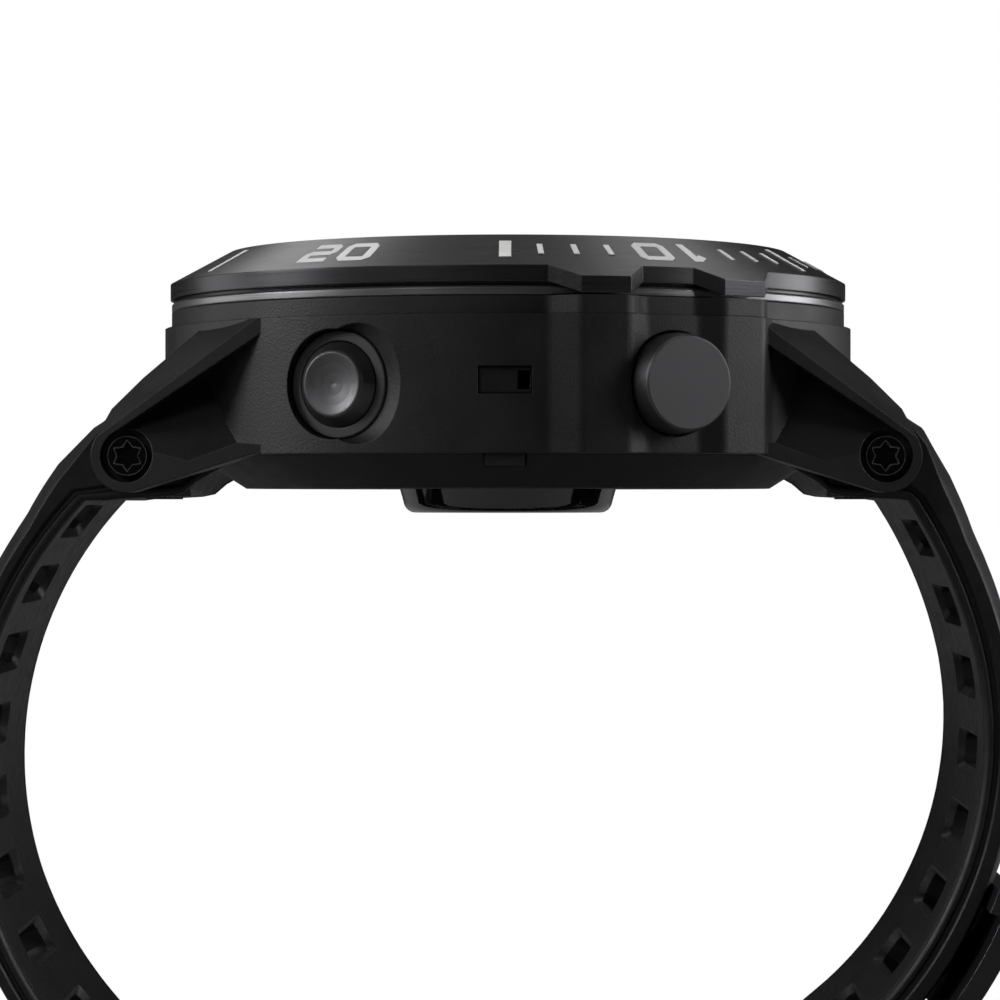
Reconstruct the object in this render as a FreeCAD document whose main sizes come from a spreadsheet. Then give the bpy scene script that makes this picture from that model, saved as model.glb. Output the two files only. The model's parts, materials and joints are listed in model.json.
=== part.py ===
"""A wrist dive computer, buckled into a loop.

The frame: millimetres, +Z out of the display, +X towards 12 o'clock, -Y towards 3 o'clock. The origin is the
centre of the optical sensor window's flat face, which rests on the skin. Angles round the case run from -Y
(3 o'clock) towards +X (12 o'clock).
"""

import FreeCAD
import Part
import Sketcher

import math
import os

from FreeCAD import Placement, Rotation, Vector

# Each driving dimension, in millimetres or degrees, and what it is.
DIMENSIONS = {
    "case_radius": (25.9, "case body, plain wall"),
    "case_bottom": (4.2, "underside of the case body"),
    "case_top": (13.75, "top of the case body"),
    "cavity_radius": (22.0, "inside of the case"),
    "pillar_radius": (27.0, "outer face of the pillars and bezel teeth"),
    "guard_radius": (26.2, "case wall between the two pillars"),
    "pillar_rounding": (1.2, "rounding of the pillars' upright edges"),
    "band_radius": (25.4, "upper band"),
    "band_top": (15.0, "top of the upper band"),
    "seat_top": (15.7, "top of the bezel's seat ring"),
    "bezel_radius": (25.5, "bezel rim"),
    "bezel_neck_radius": (24.9, "groove under the bezel rim"),
    "rim_bottom": (15.95, "underside of the bezel rim"),
    "rim_top": (17.1, "top of the bezel rim, where its cone starts"),
    "cone_radius": (21.1, "inner edge of the bezel cone"),
    "cone_top": (19.5, "inner edge of the bezel cone, height"),
    "ledge_radius": (20.2, "bezel's ledge for the crystal"),
    "ledge_height": (17.8, "bezel's ledge for the crystal, height"),
    "ring_bore": (21.8, "bore of the rings above the case"),
    "crystal_radius": (21.0, "crystal"),
    "crystal_bottom": (17.95, "underside of the crystal"),
    "crystal_top": (19.4, "top of the crystal"),
    "mark_radius": (23.3, "middle of the minute marks"),
    "mark_height": (0.06, "thickness of the minute marks"),
    "cover_bottom": (1.8, "flat underside of the back cover"),
    "cover_face_radius": (19.8, "flat underside of the back cover, radius"),
    "cover_step_radius": (22.1, "back cover where its flank gets flatter"),
    "cover_step_height": (3.25, "back cover where its flank gets flatter, height"),
    "cover_radius": (23.6, "back cover where it meets the case"),
    "spigot_radius": (21.9, "back cover's spigot in the case"),
    "spigot_top": (5.4, "top of the spigot"),
    "cover_inner_height": (3.4, "floor of the back cover inside"),
    "window_hole_radius": (7.7, "sensor window's hole in the back cover"),
    "window_radius": (8.2, "sensor window at the back cover"),
    "window_face_radius": (7.7, "sensor window near its flat face"),
    "window_rounding": (0.9, "sensor window's rounded lower edge"),
    "key_width": (2.75, "key tab of the case in the back cover"),
    "key_bottom": (3.35, "underside of the key tab"),
    "back_seal_wire": (0.27, "back cover's gasket, section radius"),
    "screw_circle": (17.9, "back cover screws, radius of their circle"),
    "contact_offset": (12.5, "charge contacts, from the middle"),
    "button_height": (9.0, "button axes above the skin"),
    "button_angle": (26.6, "first and last buttons from 3 or 9 o'clock"),
    "cone_angle": (27.6, "the same for the cone buttons beside the 3 and 9 o'clock sides"),
    "barrel_underside": (25.7, "start button, underside of its barrel from the case axis"),
    "groove_start": (22.1, "seal groove in a stem, inner end from the case axis"),
    "groove_end": (22.85, "seal groove in a stem, outer end from the case axis"),
    "seal_wire": (0.22, "button seal, section radius"),
    "start_radius": (3.5, "start button, its barrel"),
    "start_face_radius": (3.25, "start button, its face"),
    "start_face": (28.3, "start button's face from the case axis"),
    "start_recess": (3.68, "start button's hole in the case"),
    "collar_face": (25.05, "collar ring's face from the case axis"),
    "collar_radius": (3.8, "collar ring, outer radius"),
    "collar_bore": (3.0, "collar ring, inner radius"),
    "cone_face_radius": (2.3, "cone button, its face"),
    "cone_face": (26.0, "cone button's face from the case axis"),
    "recess_floor": (24.3, "floor of a button's recess from the case axis"),
    "stem_radius": (1.4, "button stem"),
    "stem_clearance": (0.05, "stem in its bore, radial"),
    "stem_end": (20.95, "inner end of a button stem from the case axis"),
    "clip_start": (21.4, "retaining clip, inner face from the case axis"),
    "clip_thickness": (0.35, "retaining clip"),
    "spring_radius": (2.05, "button spring, wire centre"),
    "spring_wire": (0.17, "button spring, wire radius"),
    "spring_floor": (22.9, "floor of the spring's pocket from the case axis"),
    "port_height": (9.2, "sensor port above the skin"),
    "port_width": (3.7, "sensor port"),
    "port_tall": (1.9, "sensor port, along the case axis"),
    "pin_place": (27.0, "strap bars from the case axis"),
    "pin_height": (4.1, "strap bars above the skin"),
    "bar_radius": (1.0, "strap bar"),
    "lug_end_radius": (2.62, "rounded end of a lug"),
    "lug_inner": (13.35, "inner faces of the lugs from the middle"),
    "lug_root": (17.8, "where a lug leaves the case, along X"),
    "lug_root_side": (19.2, "where a lug leaves the case, along Y"),
    "lug_tip_side": (16.8, "lug's outer face near its tip, along Y"),
    "lug_tip": (28.0, "lug's outer face near its tip, along X"),
    "lug_rib": (1.05, "rib round the pocket in a lug"),
    "lug_screw_recess": (1.9, "round recess for the lug screw"),
    "strap_half_width": (13.0, "half of the strap's width"),
    "strap_thick": (3.3, "6 o'clock strap half"),
    "tail_thick": (2.8, "12 o'clock strap half with the tail"),
    "slot_wide": (10.4, "strap slot across the strap"),
    "slot_long": (3.7, "strap slot along the strap"),
    "six_pitch": (5.83, "slots of the 6 o'clock half, middle to middle"),
    "twelve_pitch": (5.6, "slots of the 12 o'clock half, middle to middle"),
    "wrap_radius": (3.5, "strap round its bar, outer side"),
    "wrap_inner_radius": (2.7, "strap round its bar, case side"),
    "buckle_x": (16.6, "buckle bar, along X"),
    "buckle_z": (-41.1, "buckle bar, height"),
    "knuckle_radius": (2.0, "end of the 6 o'clock half round the buckle bar"),
    "buckle_bar_radius": (0.8, "buckle bar"),
    "frame_inner": (13.4, "inner faces of the buckle's arms from the middle"),
    "frame_outer": (15.4, "outer faces of the buckle's arms from the middle"),
    "plate_inner_radius": (31.1, "buckle plate, inner face"),
    "plate_outer_radius": (32.6, "buckle plate, outer face"),
    "lip_radius": (30.15, "buckle plate's front lip, inner face"),
    "plate_front": (-19.5, "front edge of the buckle plate, degrees"),
    "plate_rear": (-50.0, "rear edge of the buckle plate, degrees"),
    "buckle_window": (9.0, "half of the width of the window in the buckle plate"),
    "window_front": (-38.5, "front edge of that window, degrees"),
    "window_rear": (-45.5, "rear edge of that window, degrees"),
    "arm_end_radius": (1.8, "rounded end of a buckle arm"),
    "tongue_thick": (0.8, "buckle tongue"),
    "tongue_half_width": (1.1, "half of the buckle tongue's width"),
    "tongue_heading": (-17.0, "slope of the buckle tongue where it leaves its bar, degrees"),
    "tongue_flat": (3.94, "straight part of the buckle tongue before its curve"),
    "keeper_wall": (1.5, "wall of a keeper"),
    "keeper_gap": (0.3, "gap between a keeper and the straps"),
}

doc = FreeCAD.newDocument("dive_computer")
sheet = doc.addObject("Spreadsheet::Sheet", "Dims")
for row, (alias, (number, meaning)) in enumerate(DIMENSIONS.items(), start=1):
    sheet.set(f"A{row}", meaning)
    sheet.set(f"B{row}", str(number))
    sheet.setAlias(f"B{row}", alias)
doc.recompute()
SIZE = {alias: float(sheet.get(alias)) for alias in DIMENSIONS}
NODES = []
Z_AXIS = Vector(0, 0, 1)
Y_AXIS = Vector(0, 1, 0)


# ---------------------------------------------------------------- tools


def value(text):
    """The number that a sum or difference of dimension names and numbers gives, such as "band_top - 0.5"."""
    total, sign = 0.0, 1
    for word in str(text).split():
        if word in "+-":
            sign = 1 if word == "+" else -1
        else:
            total += sign * (SIZE[word] if word in SIZE else float(word))
    return total


def bound(text):
    """The same sum as a FreeCAD expression that reads the sheet."""
    return " ".join("Dims." + word if word in SIZE else word for word in str(text).split())


def node(obj, label):
    """Names an object as one piece of the product."""
    obj.Label = label
    NODES.append(obj)
    return obj


def feature(name, shape):
    """A document object for a shape that is worked out here."""
    obj = doc.addObject("Part::Feature", name)
    obj.Shape = shape
    return obj


def outline_sketch(body, role, outline, name):
    """A closed outline of straight lines whose corners are tied to the sheet."""
    sketch = body.newObject("Sketcher::SketchObject", name)
    plane = next(item for item in body.Origin.OriginFeatures if item.Role == role)
    sketch.AttachmentSupport = [(plane, "")]
    sketch.MapMode = "FlatFace"
    corners = [Vector(value(across), value(up), 0) for across, up in outline]
    count = len(corners)
    for index, corner in enumerate(corners):
        sketch.addGeometry(Part.LineSegment(corner, corners[(index + 1) % count]), False)
    for index in range(count):
        sketch.addConstraint(Sketcher.Constraint("Coincident", index, 2, (index + 1) % count, 1))
    for index, (across, up) in enumerate(outline):
        for kind, text in (("DistanceX", across), ("DistanceY", up)):
            place = sketch.addConstraint(Sketcher.Constraint(kind, index, 1, value(text)))
            sketch.setExpression(f"Constraints[{place}]", bound(text))
    return sketch


def turned(name, outline):
    """A body turned round Z from an outline of (radius, height) corners."""
    body = doc.addObject("PartDesign::Body", name)
    sketch = outline_sketch(body, "XZ_Plane", outline, name + "_outline")
    turn = body.newObject("PartDesign::Revolution", name + "_turn")
    turn.Profile = sketch
    turn.ReferenceAxis = (sketch, ["V_Axis"])
    turn.Angle = 360
    doc.recompute()
    return body


def plate(name, outline, bottom, thickness):
    """A flat plate from an outline of (x, y) corners, at a height."""
    body = doc.addObject("PartDesign::Body", name)
    sketch = outline_sketch(body, "XY_Plane", outline, name + "_outline")
    sketch.AttachmentOffset = Placement(Vector(0, 0, value(bottom)), Rotation())
    sketch.setExpression("AttachmentOffset.Base.z", bound(bottom))
    pad = body.newObject("PartDesign::Pad", name + "_pad")
    pad.Profile = sketch
    pad.setExpression("Length", bound(thickness))
    doc.recompute()
    return body


def rectangle(centre_x, centre_y, width, depth):
    """The corners of a rectangle, for plate()."""
    left, right = centre_x - width / 2, centre_x + width / 2
    front, back = centre_y - depth / 2, centre_y + depth / 2
    return [(left, front), (right, front), (right, back), (left, back)]


def cylinder(name, radius, length, place):
    """A Part::Cylinder with its size bound to the sheet, placed along the local Z of place."""
    obj = doc.addObject("Part::Cylinder", name)
    obj.setExpression("Radius", bound(radius))
    obj.setExpression("Height", bound(length))
    obj.Placement = place
    return obj


def box(name, length, width, height, place):
    """A Part::Box, centred on the local X and Y of place and standing on its local Z."""
    obj = doc.addObject("Part::Box", name)
    obj.setExpression("Length", bound(length))
    obj.setExpression("Width", bound(width))
    obj.setExpression("Height", bound(height))
    obj.Placement = place.multiply(Placement(Vector(-value(length) / 2, -value(width) / 2, 0), Rotation()))
    return obj


def at(x=0, y=0, z=0):
    """A place with no turn."""
    return Placement(Vector(x, y, z), Rotation())


def along_y(x, y, z):
    """A place whose local Z runs along +Y."""
    return Placement(Vector(x, y, z), Rotation(Vector(1, 0, 0), -90))


def out_of_case(angle, height, distance=0.0):
    """A place on the case wall: local Z runs outwards, local Y is up and local X goes round the case."""
    turn = Rotation(Z_AXIS, angle).multiply(Rotation(Vector(1, 0, 0), 90))
    return Placement(Vector(0, 0, height), turn).multiply(at(0, 0, distance))


def cut(name, base, tools):
    """Base without every tool."""
    obj = doc.addObject("Part::Cut", name)
    obj.Base = base
    obj.Tool = tools[0] if len(tools) == 1 else fuse(name + "_tools", tools)
    return obj


def fuse(name, items):
    """All the items as one solid."""
    obj = doc.addObject("Part::MultiFuse", name)
    obj.Shapes = items
    return obj


def polar(centre_x, centre_z, radius, degrees, side=0.0):
    """A point in the XZ plane at an angle from +X towards +Z."""
    turn = math.radians(degrees)
    return Vector(centre_x + radius * math.cos(turn), side, centre_z + radius * math.sin(turn))


def on_case(radius, degrees, height=0.0):
    """A point at an angle from -Y towards +X."""
    turn = math.radians(degrees)
    return Vector(radius * math.sin(turn), -radius * math.cos(turn), height)


# ---------------------------------------------------------------- case, band and bezel

# Each guard has two teeth, given as (ramp start, flat start, flat end, ramp end) in degrees round the case.
TEETH = [(6.65, 11.25, 18.75, 21.9), (30.9, 34.4, 42.3, 46.7)]


def guard_corners(base_radius, between_radius):
    """The (angle, radius) corners of the plan from the first tooth to the last."""
    outer = SIZE["pillar_radius"]
    corners = []
    for index, (rise, flat, flat_end, fall) in enumerate(TEETH):
        before = base_radius if index == 0 else between_radius
        after = between_radius if index == 0 else base_radius
        corners += [(rise, before), (flat, outer), (flat_end, outer), (fall, after)]
    return corners


def guard_plan(base_radius, between_radius, bottom, height, rounding=0.0):
    """A prism with a round plan and the two guard pillars at 2 o'clock."""
    corners = guard_corners(base_radius, between_radius)
    edges = []
    closed = corners + [(corners[0][0] + 360, corners[0][1])]
    for (angle, radius), (next_angle, next_radius) in zip(closed, closed[1:]):
        start = on_case(radius, angle, bottom)
        end = on_case(next_radius, next_angle, bottom)
        if radius == next_radius:
            middle = on_case(radius, (angle + next_angle) / 2, bottom)
            edges.append(Part.Arc(start, middle, end).toShape())
        else:
            edges.append(Part.LineSegment(start, end).toShape())
    prism = Part.Face(Part.Wire(edges)).extrude(Vector(0, 0, height))
    if rounding:
        upright = [edge for edge in prism.Edges if edge.BoundBox.ZLength > height * 0.9]
        prism = prism.makeFillet(rounding, upright)
    return prism


def lug_profile():
    """The side outline of the lug at -X: the ridge, the tip round the bar and the sloping underside."""
    pin_x, pin_z, tip = -SIZE["pin_place"], SIZE["pin_height"], SIZE["lug_end_radius"]
    root, top, bottom = -SIZE["lug_root"] + 3, SIZE["case_top"], SIZE["case_bottom"]
    ridge = [Vector(root, 0, top), Vector(-22.3, 0, top), Vector(-24.8, 0, 11.2), Vector(-28.4, 0, 7.5)]
    tip_start = polar(pin_x, pin_z, tip, 168)
    tip_middle = polar(pin_x, pin_z, tip, 215)
    tip_end = polar(pin_x, pin_z, tip, 288)
    foot = [Vector(-SIZE["lug_root"], 0, bottom), Vector(root, 0, bottom)]
    edges = [Part.LineSegment(a, b).toShape() for a, b in zip(ridge, ridge[1:] + [tip_start])]
    edges.append(Part.Arc(tip_start, tip_middle, tip_end).toShape())
    under = [tip_end] + foot + [ridge[0]]
    edges += [Part.LineSegment(a, b).toShape() for a, b in zip(under, under[1:])]
    return Part.Face(Part.Wire(edges))


def lug_pocket():
    """The three-cornered hollow in the lug's outer face, as a side outline that keeps an even rib."""
    pin_x, pin_z, rib = -SIZE["pin_place"], SIZE["pin_height"], SIZE["lug_rib"]
    inner = SIZE["lug_screw_recess"]
    upper = polar(pin_x, pin_z, inner, 126)
    lower = polar(pin_x, pin_z, inner, 288)
    tip = polar(pin_x, pin_z, inner, 200)
    top_corner = Vector(-17.0, 0, 12.85)
    bottom_corner = Vector(-19.0, 0, SIZE["case_bottom"] + rib * 0.75)
    end_low = Vector(-15.0, 0, bottom_corner.z - 0.3)
    end_high = Vector(-15.0, 0, 12.85)
    points = [lower, bottom_corner, end_low, end_high, top_corner, upper]
    edges = [Part.LineSegment(a, b).toShape() for a, b in zip(points, points[1:])]
    edges.append(Part.Arc(upper, tip, lower).toShape())
    return Part.Face(Part.Wire(edges))


def half_space(point, normal, reach=80.0):
    """A large block that fills the side of a plane that the normal points to."""
    block = Part.makeBox(reach, reach, reach, Vector(-reach / 2, -reach / 2, 0))
    block.Placement = Placement(point, Rotation(Z_AXIS, normal))
    return block


def lug():
    """The lug at -X, -Y, with its sloping top facet, pocket and screw recess."""
    outer_side = SIZE["lug_root_side"] + 2
    inner_side = SIZE["lug_inner"]
    solid = lug_profile()
    solid.translate(Vector(0, -outer_side, 0))
    solid = solid.extrude(Vector(0, outer_side - inner_side, 0))
    root = Vector(-SIZE["lug_root"], -SIZE["lug_root_side"], SIZE["case_top"] - 0.15)
    tip = Vector(-SIZE["lug_tip"], -SIZE["lug_tip_side"], root.z)
    side_normal = (tip - root).cross(Z_AXIS).normalize()
    if side_normal.y > 0:
        side_normal = side_normal * -1
    solid = solid.cut(half_space(root, side_normal))
    solid = solid.cut(half_space(root, Vector(-0.594, -0.393, 0.701)))
    pocket = lug_pocket()
    pocket.translate(Vector(0, -outer_side, 0))
    pocket = pocket.extrude(Vector(0, outer_side - inner_side, 0))
    floor_point = Vector(-19.5, -17.0, 5.85)
    pocket = pocket.cut(half_space(floor_point, Vector(0.083, 1.0, -0.624)))
    screw_place = along_y(-SIZE["pin_place"], -outer_side, SIZE["pin_height"])
    screw_recess = Part.makeCylinder(SIZE["lug_screw_recess"], outer_side - 15.6)
    screw_recess.Placement = screw_place
    bar_bore = Part.makeCylinder(SIZE["bar_radius"] + 0.02, outer_side)
    bar_bore.Placement = screw_place
    cover_room = Part.makeCylinder(SIZE["cover_radius"] + 0.1, SIZE["case_bottom"])
    return solid.cut(pocket).cut(screw_recess).cut(bar_bore).cut(cover_room)


def four_ways(shape):
    """The shape and its mirror images across the XZ and YZ planes."""
    pair = [shape, shape.mirror(Vector(), Y_AXIS)]
    return pair + [item.mirror(Vector(), Vector(1, 0, 0)) for item in pair]


def collar_pocket(angle, lean):
    """The flaring pocket round a cone button, leaning round the case by its lean."""
    steps = [(collar_floor(), 3.85, 0.0), (26.65, 4.5, 4.0 * lean)]
    rings = []
    for distance, radius, shift in steps:
        circle = Part.Wire(Part.makeCircle(radius, Vector(shift, 0, distance)))
        rings.append(circle)
    cone = Part.makeLoft(rings, True, True)
    barrel = Part.makeCylinder(3.85, 1.7, Vector(0, 0, SIZE["recess_floor"]))
    solid = cone.fuse(barrel)
    solid.Placement = out_of_case(angle, SIZE["button_height"])
    return solid


def collar_floor():
    """Where the flaring part of a collar's pocket starts."""
    return SIZE["collar_face"] - 0.15


# Each button: name, angle round the case, lean of its pocket. A lean of None marks the flat disc button.
BUTTONS = [
    ("start", SIZE["button_angle"], None),
    ("back", -SIZE["cone_angle"], 1),
    ("light", 180 - SIZE["cone_angle"], 1),
    ("up", 180.0, 0),
    ("down", 180 + SIZE["cone_angle"], -1),
]


def stem_cuts(name, angle):
    """The stem bore, the spring pocket and, for the flat button, its barrel's hole."""
    height = SIZE["button_height"]
    pocket = out_of_case(angle, height, SIZE["spring_floor"])
    tools = [
        cylinder(name + "_bore", "stem_radius + stem_clearance", "8", out_of_case(angle, height, 19)),
        cylinder(name + "_pocket", "spring_radius + 0.45", "3", pocket),
    ]
    if name == "start":
        floor = SIZE["recess_floor"] + 0.6
        tools.append(cylinder(name + "_hole", "start_recess", "4", out_of_case(angle, height, floor)))
    return tools


def make_case():
    """The case body: wall, guard pillars, lugs, screw bosses and every opening in them."""
    bottom, top = SIZE["case_bottom"], SIZE["case_top"]
    rounding = SIZE["pillar_rounding"]
    wall = guard_plan(SIZE["case_radius"], SIZE["guard_radius"], bottom, top - bottom, rounding)
    for item in four_ways(lug()):
        wall = wall.fuse(item)
    blank = feature("case_blank", wall.removeSplitter())
    cavity = cylinder("case_cavity", "cavity_radius", "case_top", at())
    tools = [cavity]
    for side, name in ((-1, "bar_space_6h"), (1, "bar_space_12h")):
        place = along_y(side * SIZE["pin_place"], -SIZE["lug_inner"], SIZE["pin_height"])
        tools.append(cylinder(name, "wrap_inner_radius + 0.3", "lug_inner + lug_inner", place))
    for name, angle, lean in BUTTONS:
        tools += stem_cuts(name, angle)
        if lean is not None:
            tools.append(feature(name + "_collar_pocket", collar_pocket(angle, lean)))
    port = out_of_case(0, SIZE["port_height"], 24.9)
    tools.append(box("port_hole", "port_width", "port_tall", "2", port))
    window = out_of_case(0, SIZE["port_height"], 20).multiply(at(1.3))
    tools.append(box("port_window", "0.83", "1.3", "6", window))
    hollow = cut("case_hollow", blank, tools)
    bosses = []
    for index in range(4):
        middle = Vector(SIZE["screw_circle"], 0, SIZE["spigot_top"] + 0.05)
        turn = Placement(Vector(), Rotation(Z_AXIS, 45 + 90 * index))
        boss = cylinder(f"boss_{index}", "2.3", "4", turn.multiply(at(middle.x, 0, middle.z)))
        web = box(f"boss_web_{index}", "5", "3", "4", turn.multiply(at(middle.x + 2.4, 0, middle.z)))
        hole = cylinder(f"boss_hole_{index}", "0.8", "3.2", turn.multiply(at(middle.x, 0, middle.z)))
        bosses.append(cut(f"boss_solid_{index}", fuse(f"boss_mass_{index}", [boss, web]), [hole]))
    tab_depth = 3.2
    tab_place = at(0, -22.3 - tab_depth / 2, SIZE["key_bottom"])
    tab = box("key_tab", "key_width", str(tab_depth), "case_bottom - key_bottom + 0.4", tab_place)
    node(fuse("case_body_solid", [hollow, tab] + bosses), "case_body")


def make_rings():
    """The upper band, the seat ring, and the bezel with its teeth."""
    band_height = SIZE["band_top"] - SIZE["case_top"]
    plan = guard_plan(SIZE["band_radius"], SIZE["guard_radius"] - 0.4, SIZE["case_top"], band_height, 1.0)
    bore = cylinder("band_bore", "ring_bore", "band_top", at())
    node(cut("upper_band_solid", feature("upper_band_blank", plan), [bore]), "upper_band")
    seat = [
        ("ring_bore", "band_top"),
        ("band_radius - 0.12", "band_top"),
        ("band_radius", "band_top + 0.12"),
        ("band_radius", "seat_top - 0.15"),
        ("band_radius - 0.15", "seat_top"),
        ("ring_bore", "seat_top"),
    ]
    node(turned("seat_ring_body", seat), "bezel_seat_ring")

    slope = (SIZE["cone_top"] - SIZE["rim_top"]) / (SIZE["bezel_radius"] - SIZE["cone_radius"])
    tooth_drop = slope * (SIZE["pillar_radius"] - SIZE["bezel_radius"])
    profile = [
        ("cone_radius", "cone_top"),
        ("pillar_radius", f"rim_top - {tooth_drop:.4f}"),
        ("pillar_radius", f"rim_bottom - {tooth_drop:.4f}"),
        ("bezel_radius", "rim_bottom"),
        ("bezel_neck_radius", "rim_bottom"),
        ("bezel_neck_radius", "seat_top"),
        ("ring_bore", "seat_top"),
        ("ring_bore", "ledge_height - 0.9"),
        ("ledge_radius", "ledge_height - 0.9"),
        ("ledge_radius", "ledge_height"),
        ("cone_radius", "ledge_height"),
    ]
    disc = turned("bezel_disc", profile)
    plan = guard_plan(SIZE["bezel_radius"], SIZE["bezel_radius"], SIZE["case_top"], 8.0)
    bezel = doc.addObject("Part::MultiCommon", "bezel_solid")
    bezel.Shapes = [disc, feature("bezel_plan", plan)]
    node(bezel, "bezel")


def mark(minute, width, length):
    """One minute mark: a thin bar that lies on the bezel cone and points at the middle."""
    rise = SIZE["cone_top"] - SIZE["rim_top"]
    run = SIZE["bezel_radius"] - SIZE["cone_radius"]
    tilt = math.degrees(math.atan2(rise, run))
    radius = SIZE["mark_radius"]
    height = SIZE["rim_top"] + (SIZE["bezel_radius"] - radius) * rise / run
    bar = Part.makeBox(width, length, SIZE["mark_height"], Vector(-width / 2, -length / 2, 0.004))
    turn = Rotation(Z_AXIS, 90 - 6 * minute).multiply(Rotation(Vector(1, 0, 0), tilt))
    bar.Placement = Placement(on_case(radius, 90 - 6 * minute, height), turn)
    return bar


def make_marks():
    """The minute marks: short bars for the first minutes, long bars at the fives, a wide one at 15."""
    bars = []
    for minute in range(60):
        if minute % 10 == 0:
            continue
        if minute == 15:
            bars.append(mark(minute, 0.85, 2.6))
        elif minute % 5 == 0:
            bars.append(mark(minute, 0.6, 3.4))
        elif minute < 15 and minute not in (9, 11):
            bars.append(mark(minute, 0.4, 1.6))
    node(feature("marks", Part.makeCompound(bars)), "bezel_marks")


# ---------------------------------------------------------------- under the bezel


def make_display():
    """The crystal, its gasket, the dial ring and the display module."""
    crystal = [
        ("0", "crystal_bottom"),
        ("crystal_radius", "crystal_bottom"),
        ("crystal_radius", "crystal_top - 0.3"),
        ("crystal_radius - 0.3", "crystal_top"),
        ("0", "crystal_top"),
    ]
    node(turned("crystal_body", crystal), "crystal")
    gasket = [
        ("ledge_radius + 0.1", "ledge_height"),
        ("crystal_radius", "ledge_height"),
        ("crystal_radius", "crystal_bottom"),
        ("ledge_radius + 0.1", "crystal_bottom"),
    ]
    node(turned("crystal_gasket_body", gasket), "crystal_gasket")
    dial = [
        ("ledge_radius - 1.8", "ledge_height - 1"),
        ("ledge_radius - 0.1", "ledge_height - 1"),
        ("ledge_radius - 0.1", "ledge_height + 0.05"),
        ("ledge_radius - 0.6", "ledge_height + 0.05"),
        ("ledge_radius - 1.8", "ledge_height - 0.6"),
    ]
    node(turned("dial_ring_body", dial), "dial_ring")
    display = [
        ("0", "seat_top - 0.05"),
        ("ledge_radius - 0.1", "seat_top - 0.05"),
        ("ledge_radius - 0.1", "ledge_height - 1.05"),
        ("0", "ledge_height - 1.05"),
    ]
    node(turned("display_body", display), "display_module")


def make_inside():
    """The chassis and what it holds."""
    chassis = [
        ("19.2", "spigot_top + 0.3"),
        ("20.2", "spigot_top + 0.3"),
        ("20.2", "seat_top - 0.1"),
        ("0", "seat_top - 0.1"),
        ("0", "seat_top - 1"),
        ("19.2", "seat_top - 1"),
    ]
    shell = turned("chassis_shell", chassis)
    notches = []
    for index in range(4):
        turn = Placement(Vector(), Rotation(Z_AXIS, 45 + 90 * index))
        place = turn.multiply(at(SIZE["screw_circle"] + 1.5, 0, SIZE["spigot_top"]))
        notches.append(box(f"chassis_notch_{index}", "9", "5.6", "4.8", place))
    node(cut("chassis_solid", shell, notches), "chassis")
    board = []
    for index in range(12):
        turn = math.radians(30 * index)
        board.append((f"{17.5 * math.cos(turn):.4f}", f"{17.5 * math.sin(turn):.4f}"))
    node(plate("main_board_body", board, "case_top - 1.6", "0.9"), "main_board")
    node(plate("battery_body", rectangle(-3.0, 0.0, 18, 19), "spigot_top + 0.8", "4.6"), "battery")
    node(cylinder("motor_can", "4", "2.8", at(11.2, 4.6, 8.4)), "vibration_motor")
    node(box("speaker_box", "6", "9", "3", at(10.2, -5.5, 8.4)), "speaker")
    sensor = out_of_case(0, SIZE["port_height"], 15.6)
    node(cylinder("pressure_can", "2.2", "3.4", sensor), "pressure_sensor")
    plate_place = out_of_case(0, SIZE["port_height"], 24.92)
    slab = box("port_slab", "port_width - 0.1", "port_tall - 0.1", "0.55", plate_place)
    hole_place = out_of_case(0, SIZE["port_height"], 24).multiply(at(1.3))
    hole = box("port_slab_hole", "0.83", "1.3", "2", hole_place)
    node(cut("port_insert", slab, [hole]), "sensor_port_insert")


# ---------------------------------------------------------------- back


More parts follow.
